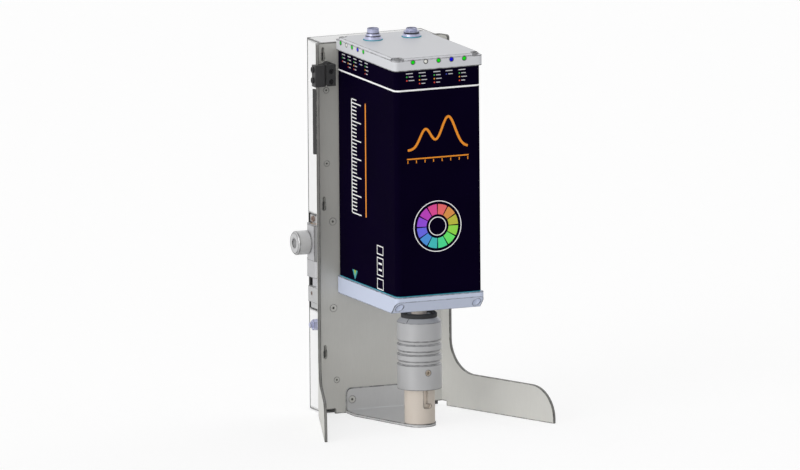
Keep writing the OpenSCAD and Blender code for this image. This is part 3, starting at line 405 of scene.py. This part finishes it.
    def scratches(self, color, amount, size=14, stretch=(1, 1, 14), width=0.006):
        """A few long thin scratches, where noise crosses its middle value."""
        lines = self.noise(size, stretch, detail=6, roughness=0.75)
        off_middle = self.math("ABSOLUTE", self.math("SUBTRACT", lines, 0.5))
        return self.tint(self.spread(off_middle, 0.0, width, amount, 0), color)

    def turned(self, centre, axis, size=0.25, amount=0.04, depth=0.01):
        """Lathe marks round an axis through `centre`: rings on the ends, lines round the sides."""
        offset = self.add("ShaderNodeVectorMath")
        offset.operation = "SUBTRACT"
        self.link(self.place, offset.inputs[0])
        offset.inputs[1].default_value = [c * MM for c in centre]
        place = self.split(offset.outputs[0])
        square = [self.math("MULTIPLY", place[i], place[i]) for i in range(3) if i != axis]
        reach = self.math("SQRT", self.math("ADD", *square))
        along = self.math("ADD", self.math("MULTIPLY", reach, 1 / (size * MM)),
                          self.math("MULTIPLY", place[axis], 1 / (size * MM)))
        rings = self.add("ShaderNodeTexNoise")
        rings.noise_dimensions = "1D"
        rings.inputs["Scale"].default_value = 1
        rings.inputs["Detail"].default_value = 2
        self.link(along, rings.inputs["W"])
        value = rings.outputs["Fac"]
        return self.shade(value, amount).rough(value, amount).bump(value, depth)


def sheet_steel(name, color, wings=None):
    """Brushed sheet, with raw cut edges if the splay of its wings is given."""
    surface = Surface(name, color, roughness=0.46, metallic=0.15, specular=0.4)
    surface.blotches(0.035, 60)
    surface.brushed((1, 1, 40), 0.035)
    surface.scratches(scaled(color, 1.3), 0.15)
    if wings is not None:
        surface.cut_edges(wings, scaled(color, 0.34))
    return surface.worn_edges(2.0, scaled(color, 0.08))


def powder(name, color, gloss, edge_tone):
    surface = Surface(name, color, roughness=gloss, specular=0.4)
    surface.blotches(0.015, 70).powder_coat()
    return surface.worn_edges(2.0, scaled(color, edge_tone))


def cover_paint(name, color, line_and_shade_tone):
    """Powder coat of the rear cover: dark along its edges and folds, thin, with painted shade
    darkening it inside.
    """
    surface = Surface(name, color, roughness=0.45, specular=0.4)
    surface.blotches(0.015, 70).powder_coat()
    # `line` is both the dark edge line and the painted shade inside the cover
    line = scaled(color, line_and_shade_tone)
    surface.worn_edges(4.2, line, thinnest=0.8).folds(REAR_HALF, REAR_BACK, 3.8, line)
    # Painted shade: the same dark colour, laid inside the cover and in its hollows by ambient
    # occlusion.
    return surface.painted_recess_shade(120, line, open_share=0.42, shut_share=0.25, local=False)


def machined(name, color, metallic=0.35, roughness=0.38):
    surface = Surface(name, color, roughness=roughness, metallic=metallic)
    surface.blotches(0.03, 25).brushed((1, 30, 1), 0.05, 0.25)
    return surface.worn_edges(1.4, scaled(color, 0.15))


def turned_metal(name, color, centre, axis, metallic, roughness, edge_tone=0.45, edge=1.4):
    surface = Surface(name, color, roughness=roughness, metallic=metallic)
    surface.blotches(0.025, 20).turned(centre, axis)
    return surface.worn_edges(edge, scaled(color, edge_tone))


def small_steel(name, color, roughness=0.3, metallic=0.6, edge=0.5, specular=0.5):
    surface = Surface(name, color, roughness=roughness, metallic=metallic, specular=specular)
    surface.blotches(0.08, 4).brushed((3, 3, 1), 0.05, 0.2, 0.006)
    return surface.worn_edges(edge, scaled(color, 0.2), 0.9)


def flush_screw(name, color, socket):
    """A screw coated with the sheet around it, with painted shade darkening its socket."""
    surface = Surface(name, color, roughness=0.46, metallic=0.15, specular=0.4)
    surface.blotches(0.04, 4).brushed((3, 1, 3), 0.04, 0.25, 0.006)
    # The `socket` colour is painted shade, laid in the socket by ambient occlusion.
    return surface.painted_recess_shade(2, socket).worn_edges(0.4, scaled(color, 0.5), 0.5)


def plastic(name, color, roughness):
    surface = Surface(name, color, roughness=roughness, specular=0.4)
    surface.blotches(0.03, 15)
    fine = surface.noise(0.5, detail=2)
    surface.bump(fine, 0.02).rough(fine, 0.04)
    return surface.worn_edges(0.3, scaled(color, 1.8), 0.35)


def rubber(name, color):
    surface = Surface(name, color, roughness=0.75, specular=0.3)
    fine = surface.noise(0.3, detail=3)
    return surface.blotches(0.08, 8).shade(fine, 0.1).bump(fine, 0.02)


def lamp_lens(name, color, glow):
    surface = Surface(name, color, roughness=0.3, specular=0.1)
    surface.bsdf.inputs["Coat Weight"].default_value = 0.08
    surface.bsdf.inputs["Coat Roughness"].default_value = 0.06
    surface.bsdf.inputs["Emission Color"].default_value = color
    surface.bsdf.inputs["Emission Strength"].default_value = glow
    fine = surface.noise(0.8, detail=2)
    return surface.shade(fine, 0.12).rough(fine, 0.04)


def clear_glass(name, color):
    surface = Surface(name, color, roughness=0.04)
    surface.bsdf.inputs["Transmission Weight"].default_value = 1
    surface.bsdf.inputs["IOR"].default_value = 1.5
    return surface.rough(surface.noise(6, detail=4), 0.02)


def body_coating(name, color, edge_color):
    """Satin blue-black paint over the head's shell."""
    surface = Surface(name, color, roughness=0.5, specular=0.002)
    slow = surface.noise(50, detail=4)
    surface.shade(slow, 0.12).rough(slow, 0.05).powder_coat(0.9, 0.012)
    return surface.worn_edges(0.4, edge_color, 0.4)


def solder_mask(name, color):
    """Circuit board with lighter raised tracks."""
    surface = Surface(name, color, roughness=0.3)
    tracks = surface.add("ShaderNodeTexBrick")
    tracks.inputs["Scale"].default_value = 260
    tracks.inputs["Mortar Size"].default_value = 0.03
    surface.link(surface.place, tracks.inputs["Vector"])
    lines = tracks.outputs["Fac"]
    return surface.tint(surface.math("MULTIPLY", lines, 0.6), scaled(color, 2.2)).bump(lines, 0.03)


def ink(name, color):
    """Screen-printed ink with slightly uneven cover."""
    surface = Surface(name, color, roughness=0.45, specular=0.3)
    surface.shade(surface.noise(7, detail=4), 0.03)
    fine = surface.noise(0.35, detail=3)
    return surface.shade(fine, 0.04).bump(fine, 0.006)


# Axes that parts were turned round: direction, and a point on the guide column's, the clamp
# knob's and the adapter's
AXIS_X, AXIS_Z = 0, 2
COLUMN_CENTRE = (-60, 129, 0)
KNOB_CENTRE = (0, 129, 184.7)
ADAPTER_CENTRE = (0, 0, 0)
SHEET_GREY = srgb(197, 196, 191)

# Finish of each of the record's slots
FINISHES = (
    ("stand_sheet", sheet_steel, dict(color=SHEET_GREY, wings=STAND_SPLAY)),
    ("cover_white", cover_paint, dict(color=srgb(232, 232, 232), line_and_shade_tone=0.06)),
    ("bracket_grey", sheet_steel, dict(color=srgb(196, 196, 196))),
    ("screw_steel", small_steel, dict(color=srgb(186, 185, 182))),
    ("ground_steel", turned_metal, dict(color=srgb(196, 196, 200), centre=COLUMN_CENTRE,
                                        axis=AXIS_Z, metallic=0.6, roughness=0.22)),
    ("block_grey", machined, dict(color=srgb(184, 184, 185))),
    ("copper_steel", small_steel, dict(color=srgb(150, 130, 120))),
    ("blue_zinc", small_steel, dict(color=srgb(176, 179, 206), roughness=0.36, metallic=0.3,
                                    edge=1.1)),
    ("clamp_black", plastic, dict(color=srgb(58, 58, 59), roughness=0.5)),
    ("screw_black", small_steel, dict(color=srgb(44, 44, 46), roughness=0.5, metallic=0.0,
                                      specular=0.2)),
    ("guide_black", plastic, dict(color=srgb(62, 62, 62), roughness=0.6)),
    ("cream_plastic", turned_metal, dict(color=srgb(198, 188, 177), centre=ADAPTER_CENTRE,
                                         axis=AXIS_Z, metallic=0.0, roughness=0.45,
                                         edge_tone=0.2)),
    ("spring_steel", small_steel, dict(color=srgb(186, 186, 190))),
    ("sleeve_grey", turned_metal, dict(color=srgb(172, 172, 173), centre=ADAPTER_CENTRE,
                                       axis=AXIS_Z, metallic=0.2, roughness=0.42,
                                       edge_tone=0.12)),
    ("seal_rubber", rubber, dict(color=srgb(50, 50, 51))),
    ("cream_screw", small_steel, dict(color=srgb(176, 164, 150))),
    ("carriage_grey", machined, dict(color=srgb(182, 182, 184))),
    ("bronze", turned_metal, dict(color=srgb(196, 160, 112), centre=COLUMN_CENTRE, axis=AXIS_Z,
                                  metallic=0.7, roughness=0.35)),
    ("body_black", body_coating, dict(color=srgb(8, 3, 24), edge_color=srgb(60, 58, 76))),
    ("gasket_rubber", rubber, dict(color=srgb(40, 40, 44))),
    ("gasket_teal", rubber, dict(color=srgb(44, 150, 166))),
    ("top_cover_grey", powder, dict(color=srgb(203, 204, 208), gloss=0.45, edge_tone=0.1)),
    ("bottom_cover_blue", powder, dict(color=srgb(191, 199, 219), gloss=0.42, edge_tone=0.1)),
    ("lamp_green", lamp_lens, dict(color=srgb(0, 200, 6), glow=0.22)),
    ("lamp_white", lamp_lens, dict(color=srgb(232, 232, 226), glow=0.0)),
    ("lamp_blue", lamp_lens, dict(color=srgb(0, 0, 205), glow=0.2)),
    ("board_green", solder_mask, dict(color=srgb(28, 92, 56))),
    ("insert_black", plastic, dict(color=srgb(34, 34, 36), roughness=0.5)),
    ("clear_glass", clear_glass, dict(color=srgb(235, 245, 248))),
    ("optic_black", machined, dict(color=srgb(52, 52, 56), metallic=0.2, roughness=0.45)),
    ("lamp_ring", plastic, dict(color=srgb(238, 238, 218), roughness=0.35)),
    ("knob_grey", turned_metal, dict(color=srgb(190, 190, 191), centre=KNOB_CENTRE, axis=AXIS_X,
                                     metallic=0.25, roughness=0.36, edge_tone=0.08, edge=2.6)),
)
SURFACES = {name: make(name, **look) for name, make, look in FINISHES}

# Darker finish of the four screws on the top cover
DARK_SCREW = small_steel("dark_screw", srgb(138, 138, 140), roughness=0.5, metallic=0.0, edge=0.8,
                         specular=0.3)

# Screws that are flush with the web and coated like it, with dark painted shade in their sockets
FLUSH_SCREW = flush_screw("flush_screw", SHEET_GREY, srgb(52, 50, 48))

# Nodes that don't wear their slot's finish
OWN_SURFACES = {
    "top_cover_screws": DARK_SCREW,
    "cover_screws": FLUSH_SCREW,
    "block_screws": FLUSH_SCREW,
    "bracket_screws": FLUSH_SCREW,
    "cable_clamp_screws": SURFACES["screw_black"],
}

INK_TONES = {
    "white": (240, 240, 240),
    "pale": (196, 196, 200),
    "orange": (232, 140, 28),
    "teal": (52, 150, 160),
    "green": (60, 170, 70),
    "red": (206, 60, 48),
    "amber": (226, 150, 40),
    "blue": (46, 60, 150),
    "line": (46, 46, 48),
    "lime": (150, 178, 40),
}
INK = {name: ink(f"ink_{name}", srgb(*tone)) for name, tone in INK_TONES.items()}


def dress_nodes():
    slots = {part["node"]: part["material_slot"] for part in frame["record"]["subparts"]}
    for name, node in frame["nodes"].items():
        material = OWN_SURFACES.get(name, SURFACES[slots[name]]).material
        if not node.material_slots:
            node.data.materials.append(material)
        for holder in node.material_slots:
            holder.material = material


# Mesh helpers

def new_piece(name, bm, body, surface, smooth=False):
    bmesh.ops.recalc_face_normals(bm, faces=bm.faces)
    mesh = bpy.data.meshes.new(name)
    bm.to_mesh(mesh)
    bm.free()
    for face in mesh.polygons:
        face.use_smooth = smooth
    mesh.materials.append(surface.material)
    piece = bpy.data.objects.new(name, mesh)
    bpy.context.scene.collection.objects.link(piece)
    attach(piece, body)
    return piece


def bridge(bm, a, b):
    """A band of faces between two closed loops of as many vertices."""
    n = len(a)
    for i in range(n):
        j = (i + 1) % n
        bm.faces.new((a[i], a[j], b[j], b[i]))


def prism(bm, outline, z0, z1, place):
    """A closed prism over a plan `outline`; `place` turns (x, y, z) mm into a point in metres."""
    low = [bm.verts.new(place(x, y, z0)) for x, y in outline]
    high = [bm.verts.new(place(x, y, z1)) for x, y in outline]
    bm.faces.new(low)
    bm.faces.new(high)
    bridge(bm, low, high)


def lathe(bm, profile, centre, sides=64):
    """Closed ring turned from a (radius, height) outline round a vertical axis through `centre`."""
    x, y = centre
    turns = [2 * math.pi * i / sides for i in range(sides)]
    loops = []
    for r, z in profile:
        loops.append([bm.verts.new(Vector((x + r * math.cos(t), y + r * math.sin(t), z)) * MM)
                      for t in turns])
    for a, b in zip(loops, loops[1:] + loops[:1]):
        bridge(bm, a, b)


def on_front(x, z, out):
    """A point on the head's front face: x across, z up, `out` mm proud of it."""
    return Vector((x, BODY_FRONT - out, z)) * MM


def on_left(y, z, out):
    """A point on the head's left face: y back, z up, `out` mm proud of it."""
    return Vector((-BODY_HALF - out, y, z)) * MM


def on_front_rim(x, z, out):
    return on_front(x, z, out + COVER_OUT)


def on_left_rim(y, z, out):
    return on_left(y, z, out + COVER_OUT)


def printed(name, shapes, face, colour):
    """One piece of print: flat closed shapes, each an outline in the face's own two axes."""
    bm = bmesh.new()
    for outline in shapes:
        prism(bm, outline, -PRINT_SUNK, PRINT_T, face)
    return new_piece(name, bm, "head", INK[colour])


def disc(x, z, r, sides=24):
    turns = (2 * math.pi * i / sides for i in range(sides))
    return [(x + r * math.cos(t), z + r * math.sin(t)) for t in turns]


def bar(x0, z0, x1, z1):
    return [(x0, z0), (x1, z0), (x1, z1), (x0, z1)]


def sector(x, z, r0, r1, a0, a1, steps=8):
    """Part of a ring between two angles."""
    angles = [math.radians(a0 + (a1 - a0) * i / steps) for i in range(steps + 1)]
    outer = [(x + r1 * math.cos(a), z + r1 * math.sin(a)) for a in angles]
    inner = [(x + r0 * math.cos(a), z + r0 * math.sin(a)) for a in reversed(angles)]
    return outer + inner


def strip(points, width):
    """A flat line of even width along a run of points."""
    half = width / 2
    left, right = [], []
    for i, p in enumerate(points):
        a, b = points[max(i - 1, 0)], points[min(i + 1, len(points) - 1)]
        dx, dz = b[0] - a[0], b[1] - a[1]
        length = math.hypot(dx, dz)
        nx, nz = -dz / length * half, dx / length * half
        left.append((p[0] + nx, p[1] + nz))
        right.append((p[0] - nx, p[1] - nz))
    return left + right[::-1]


def rounded_outline(x0, x1, y0, y1, r, steps=8):
    corners = ((x1 - r, y1 - r, 0), (x0 + r, y1 - r, 90),
               (x0 + r, y0 + r, 180), (x1 - r, y0 + r, 270))
    points = []
    for cx, cy, start in corners:
        for i in range(steps + 1):
            a = math.radians(start + 90 * i / steps)
            points.append((cx + r * math.cos(a), cy + r * math.sin(a)))
    return points


# Printed marks on the head

STRIPE_Z = 376.2
STRIPE_H = 1.8


def make_stripe():
    """White line that runs all round the head below the legends."""
    bm = bmesh.new()
    loops = []
    for out in (PRINT_T, -PRINT_SUNK):
        plan = rounded_outline(-BODY_HALF - out, BODY_HALF + out, BODY_FRONT - out, BODY_BACK + out,
                               BODY_CORNER + out)
        for z in (STRIPE_Z - STRIPE_H / 2, STRIPE_Z + STRIPE_H / 2):
            loops.append([bm.verts.new(Vector((x, y, z)) * MM) for x, y in plan])
    outer_low, outer_high, inner_low, inner_high = loops
    ring = (outer_low, outer_high, inner_high, inner_low)
    for a, b in zip(ring, ring[1:] + ring[:1]):
        bridge(bm, a, b)
    new_piece("head_stripe", bm, "head", INK["white"])


# Lamps stand in a row on the front and on the left, with a legend below each. A legend is a place
# across and a key for the colour of each row; a row is a height and the length of its bar. Bars
# start and end beside the legend's place, and the title bar lies over the rows.
LAMP_Z = 407
LAMP_R = 2
FRONT_LAMPS = (-30, -15, 0, 15, 30)
LEFT_LAMPS = (86.5, 71.1, 55.7, 40.3, 24.9)
LEGEND_KEYS = ("GR", "GAR", "GAR", "B", "GAR")
FRONT_LEGENDS = tuple(zip((-36.5, -21.6, -4.4, 9.9, 25.0), LEGEND_KEYS))
LEFT_LEGENDS = tuple(zip(LEFT_LAMPS, LEGEND_KEYS))
LEGEND_ROWS = ((391, 5.2), (387, 6.4), (383, 4.4))
LEGEND_INK = {"G": "green", "A": "amber", "R": "red", "B": "blue"}
TITLE_START, TITLE_END = -1, 7
TITLE_Z0, TITLE_Z1 = 394.1, 395.1
DOT_R = 0.85
ROW_BAR_START = 2.2
ROW_BAR_HALF = 0.45


def legend_bar(x, step, start, end, z0, z1):
    """A bar from `start` to `end` mm beside `x`, towards the side that `step` gives."""
    left, right = sorted((x + start * step, x + end * step))
    return bar(left, z0, right, z1)


def make_legends():
    """Under each lamp: a plain bar, then coloured dots that have a bar beside them."""
    for face, label, legends, step in ((on_front, "front", FRONT_LEGENDS, 1),
                                       (on_left, "left", LEFT_LEGENDS, -1)):
        dots = {key: [] for key in LEGEND_INK}
        bars = []
        for x, keys in legends:
            bars.append(legend_bar(x, step, TITLE_START, TITLE_END, TITLE_Z0, TITLE_Z1))
            for (z, length), key in zip(LEGEND_ROWS, keys):
                dots[key].append(disc(x, z, DOT_R))
                bars.append(legend_bar(x, step, ROW_BAR_START, ROW_BAR_START + length,
                                       z - ROW_BAR_HALF, z + ROW_BAR_HALF))
        printed(f"{label}_legend_bars", bars, face, "pale")
        for key, shapes in dots.items():
            if shapes:
                printed(f"{label}_legend_{LEGEND_INK[key]}", shapes, face, LEGEND_INK[key])


WHEEL_X, WHEEL_Z = -2, 226
WHEEL_R0, WHEEL_R1 = 13, 24
WHEEL_PARTS = 12
WHEEL_GAP = 3.5
WHEEL_RINGS = (9.4, 27)
WHEEL_RING_T = 0.9
WHEEL_DIM, WHEEL_BRIGHT = 60, 232


def make_colour_wheel():
    """Ring of colour patches on the front, between two thin white circles."""
    for i in range(WHEEL_PARTS):
        hue = i / WHEEL_PARTS
        waves = (0.5 + 0.5 * math.cos(2 * math.pi * (hue - shift)) for shift in (0, 1 / 3, 2 / 3))
        colour = srgb(*(WHEEL_DIM + (WHEEL_BRIGHT - WHEEL_DIM) * wave for wave in waves))
        surface = ink(f"ink_wheel_{i + 1}", colour)
        start = 90 - 360 * i / WHEEL_PARTS
        outline = sector(WHEEL_X, WHEEL_Z, WHEEL_R0, WHEEL_R1,
                         start - 360 / WHEEL_PARTS + WHEEL_GAP / 2, start - WHEEL_GAP / 2)
        bm = bmesh.new()
        prism(bm, outline, -PRINT_SUNK, PRINT_T, on_front)
        new_piece(f"wheel_patch_{i + 1}", bm, "head", surface)
    rings = [sector(WHEEL_X, WHEEL_Z, r, r + WHEEL_RING_T, a, a + 90, 24)
             for r in WHEEL_RINGS for a in (0, 90, 180, 270)]
    printed("wheel_rings", rings, on_front, "white")


# Curve: its frame, the level it starts from, and its two bells. A bell is a height, a middle and a
# width, as shares of the frame. The axis and its ticks have their heights from the frame's foot.
CURVE_X0, CURVE_X1 = -36, 34
CURVE_Z0, CURVE_Z1 = 306, 346
CURVE_T = 2.6
CURVE_STEPS = 60
CURVE_LEVEL = 0.12
CURVE_BELLS = ((0.55, 0.3, 0.13), (0.85, 0.68, 0.16))
CURVE_AXIS = (-5.5, -4.1)
CURVE_AXIS_OVER = 1
CURVE_TICKS = 8
CURVE_TICK = (-9.5, -6.4)
CURVE_TICK_HALF = 0.5


def make_spectrum_curve():
    """Orange curve of light against wavelength, over a thin axis with ticks."""
    across, up = CURVE_X1 - CURVE_X0, CURVE_Z1 - CURVE_Z0
    points = []
    for i in range(CURVE_STEPS + 1):
        t = i / CURVE_STEPS
        height = CURVE_LEVEL
        for top, middle, width in CURVE_BELLS:
            height += top * math.exp(-((t - middle) / width) ** 2)
        points.append((CURVE_X0 + across * t, CURVE_Z0 + up * height))
    printed("spectrum_curve", [strip(points, CURVE_T)], on_front, "orange")
    low, high = (CURVE_Z0 + z for z in CURVE_AXIS)
    axis = [bar(CURVE_X0 - CURVE_AXIS_OVER, low, CURVE_X1 + CURVE_AXIS_OVER, high)]
    low, high = (CURVE_Z0 + z for z in CURVE_TICK)
    for i in range(CURVE_TICKS):
        x = CURVE_X0 + across * i / (CURVE_TICKS - 1)
        axis.append(bar(x - CURVE_TICK_HALF, low, x + CURVE_TICK_HALF, high))
    printed("spectrum_axis", axis, on_front, "orange")


# Height scale: its line's place, foot and top, the step, width and reach of its marks with each
# fifth one longer, their gap to the line, and the two sides of the orange line beside it
SCALE_Y = 62
SCALE_Z0, SCALE_Z1 = 226, 350
SCALE_STEP = 4
SCALE_LINE_T = 1.6
SCALE_MARK_T = 1.2
SCALE_MARK, SCALE_FIFTH_MARK = 12, 24
SCALE_GAP = 0.4
SCALE_BAND_Y0, SCALE_BAND_Y1 = SCALE_Y - 38, SCALE_Y - 35.4


def make_height_scale():
    """White rule up the left face, with an orange line beside it."""
    marks = [bar(SCALE_Y, SCALE_Z0, SCALE_Y + SCALE_LINE_T, SCALE_Z1)]
    for i in range((SCALE_Z1 - SCALE_Z0) // SCALE_STEP + 1):
        z = SCALE_Z0 + i * SCALE_STEP
        reach = SCALE_MARK if i % 5 else SCALE_FIFTH_MARK
        end = SCALE_Y - SCALE_GAP
        marks.append(bar(end - reach, z - SCALE_MARK_T / 2, end, z + SCALE_MARK_T / 2))
    printed("height_scale", marks, on_left, "white")
    line = bar(SCALE_BAND_Y0, SCALE_Z0, SCALE_BAND_Y1, SCALE_Z1)
    printed("height_scale_line", [line], on_left, "orange")


# Plane mark: heights of its top, of its foot and of the inner foot, then its middle and half widths
MARK_TOP, MARK_FOOT, MARK_INNER_FOOT = 163.8, 153.4, 157
MARK_Y = 56.65
MARK_HALF, MARK_INNER_HALF = 7.05, 2.9


def make_plane_mark():
    """Small triangle near the foot of the left face that points down to the measuring plane."""
    tip, inner_tip = (MARK_Y, MARK_FOOT), (MARK_Y, MARK_INNER_FOOT)
    for side, name in ((1, "plane_mark_back"), (-1, "plane_mark_front")):
        outer, inner = ((MARK_Y + side * half, MARK_TOP) for half in (MARK_HALF, MARK_INNER_HALF))
        printed(name, [[outer, inner, inner_tip, tip]], on_left, "teal")
    centre = [(MARK_Y + MARK_INNER_HALF, MARK_TOP), (MARK_Y - MARK_INNER_HALF, MARK_TOP), inner_tip]
    printed("plane_mark_centre", [centre], on_left, "lime")


# Frames: their middle and the lowest one's foot, the width and height of each from the foot up,
# their line and their gap. Two bars lie in the middle frame: half their length, half their width
# and how far they are above and below its middle.
FRAME_Y, FRAME_Z = -12, 153
FRAME_SIZES = ((17, 12), (17, 20), (17, 10))
FRAME_T = 1.1
FRAME_GAP = 3
FRAME_BAR_HALF, FRAME_BAR_HALF_T, FRAME_BAR_OFF = 4.5, 1, 3.4


def make_side_frames():
    """Stack of plain white frames low on the left face, one with two bars in it."""
    shapes = []
    z = FRAME_Z
    for width, height in FRAME_SIZES:
        y0, y1 = FRAME_Y - width / 2, FRAME_Y + width / 2
        low, high = z + FRAME_T, z + height - FRAME_T
        shapes += [bar(y0, z, y1, low), bar(y0, high, y1, z + height),
                   bar(y0, low, y0 + FRAME_T, high), bar(y1 - FRAME_T, low, y1, high)]
        z += height + FRAME_GAP
    middle = FRAME_Z + FRAME_SIZES[0][1] + FRAME_GAP + FRAME_SIZES[1][1] / 2
    for side in (-1, 1):
        z = middle + side * FRAME_BAR_OFF
        shapes.append(bar(FRAME_Y - FRAME_BAR_HALF, z - FRAME_BAR_HALF_T,
                          FRAME_Y + FRAME_BAR_HALF, z + FRAME_BAR_HALF_T))
    printed("side_frames", shapes, on_left, "white")


# Small pieces on the covers and the sleeve

BEZEL_OUT = 0.2
BEZEL_GAP = 0.02
BEZEL_T = 0.5


def make_bezels():
    """Thin dark ring round each lamp."""
    for label, places, face in (("front", FRONT_LAMPS, on_front_rim),
                                ("left", LEFT_LAMPS, on_left_rim)):
        bm = bmesh.new()
        for x in places:
            for a in (0, 180):
                half_ring = sector(x, LAMP_Z, LAMP_R + BEZEL_GAP, LAMP_R + BEZEL_T, a, a + 180, 16)
                prism(bm, half_ring, -PRINT_SUNK, BEZEL_OUT, face)
        new_piece(f"{label}_lamp_bezels", bm, "head", INK["line"])


CONNECTOR_X, CONNECTOR_Y = 22.5, 66.8

# Section of a connector's seal: radius, and height above the cover
SEAL_PROFILE = ((8.8, -0.1), (10.7, -0.1), (10.8, 0.4), (10.4, 0.8), (8.8, 0.8))

# Rings in the connectors' grooves: place across, then inner and outer radius, and foot and top
# above the cover
CONNECTOR_RINGS = (
    ("power_connector_ring_low", -CONNECTOR_X, (6.8, 8.1, 3.9, 4.75)),
    ("power_connector_ring_high", -CONNECTOR_X, (5.8, 6.7, 7.0, 7.75)),
    ("data_connector_ring", CONNECTOR_X, (7.7, 8.45, 3.85, 5.25)),
)


def make_connector_ring(name, x, profile, slot, smooth=False):
    """Ring round a connector, turned from a profile of radius and height above the cover."""
    bm = bmesh.new()
    lathe(bm, [(r, HEAD_TOP + z) for r, z in profile], (x, CONNECTOR_Y))
    new_piece(name, bm, "head", SURFACES[slot], smooth)


def make_connector_seals():
    """Flat seal under each connector's flange, seen as a thin teal line round it."""
    for name, x in (("power_connector_seal", -CONNECTOR_X), ("data_connector_seal", CONNECTOR_X)):
        make_connector_ring(name, x, SEAL_PROFILE, "gasket_teal")


def make_connector_rings():
    """Black rubber rings in the connectors' grooves."""
    for name, x, (r0, r1, low, high) in CONNECTOR_RINGS:
        corner = (high - low) / 4
        profile = ((r0, low), (r1 - corner, low), (r1, low + corner),
                   (r1, high - corner), (r1 - corner, high), (r0, high))
        make_connector_ring(name, x, profile, "gasket_rubber", smooth=True)


SLEEVE_R = 24
SLEEVE_TOP = 118.5
SLEEVE_CHAMFER = 4.7

# Index mark: its turn from the x axis, its run as shares of the bevel, its section as steps across
# and out of the bevel, and the part of a step out that goes sideways, with as much upwards
INDEX_TURN = -148
INDEX_RUN = (0.08, 0.92)
INDEX_SECTION = ((-0.3, 0.08), (0.3, 0.08), (0.3, -0.3), (-0.3, -0.3))
BEVEL_SLANT = 0.7


def make_index_mark():
    """Short engraved line down the sleeve's bevel, filled with dark paint."""
    turn = math.radians(INDEX_TURN)
    out = Vector((math.cos(turn), math.sin(turn), 0))
    side = Vector((-out.y, out.x, 0))
    bm = bmesh.new()
    ends = []
    for along in INDEX_RUN:
        r = SLEEVE_R - SLEEVE_CHAMFER * along
        z = SLEEVE_TOP - SLEEVE_CHAMFER * (1 - along)
        end = []
        for across, lift in INDEX_SECTION:
            rise = lift * BEVEL_SLANT
            corner = out * (r + rise) + side * across + Vector((0, 0, z + rise))
            end.append(bm.verts.new(corner * MM))
        ends.append(end)
    for end in ends:
        bm.faces.new(end)
    bridge(bm, *ends)
    new_piece("sleeve_index_mark", bm, "sleeve", INK["line"])


# Return spring: a round wire with closed ends, in place of the frame's plain coil. The pitch of
# the closed turns is in wire diameters.

SPRING_R = 11.2
SPRING_WIRE_R = 0.65
SPRING_WIRE_SIDES = 12
SPRING_TURNS = 9
SPRING_CLOSED_TURNS = 1
SPRING_STEPS_PER_TURN = 36
SPRING_CLOSED_PITCH = 1.04


def make_spring():
    low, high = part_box("return_spring")
    wire = SPRING_WIRE_R * MM
    base, top = low.z + wire, high.z - wire
    closed = 2 * wire * SPRING_CLOSED_PITCH
    closed_run = closed * SPRING_CLOSED_TURNS

    def height(turn):
        """Closed end turns, even pitch between them."""
        if turn <= SPRING_CLOSED_TURNS:
            return base + closed * turn
        if turn >= SPRING_TURNS - SPRING_CLOSED_TURNS:
            return top - closed * (SPRING_TURNS - turn)
        share = (turn - SPRING_CLOSED_TURNS) / (SPRING_TURNS - 2 * SPRING_CLOSED_TURNS)
        return base + closed_run + (top - base - 2 * closed_run) * share

    up = Vector((0, 0, 1))
    around = [2 * math.pi * k / SPRING_WIRE_SIDES for k in range(SPRING_WIRE_SIDES)]
    bm = bmesh.new()
    rings = []
    for i in range(SPRING_STEPS_PER_TURN * SPRING_TURNS + 1):
        turn = i / SPRING_STEPS_PER_TURN
        a = 2 * math.pi * turn
        out = Vector((math.cos(a), math.sin(a), 0))
        centre = out * (SPRING_R * MM) + up * height(turn)
        rings.append([bm.verts.new(centre + wire * (math.cos(b) * out + math.sin(b) * up))
                      for b in around])
    for a, b in zip(rings, rings[1:]):
        bridge(bm, a, b)
    bm.faces.new(rings[0])
    bm.faces.new(rings[-1])
    spring = new_piece("spring_coil", bm, "stand", SURFACES["spring_steel"],
                       smooth=True)
    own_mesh(spring)
    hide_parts("return_spring")


bpy.context.scene.view_settings.view_transform = "Standard"
make_camera()
make_world(WORLD_LEVEL)
for sun in SUNS:
    make_sun(*sun)
make_floor()
dress_nodes()
make_stripe()
make_legends()
make_colour_wheel()
make_spectrum_curve()
make_height_scale()
make_plane_mark()
make_side_frames()
make_bezels()
make_connector_seals()
make_connector_rings()
make_index_mark()
make_spring()
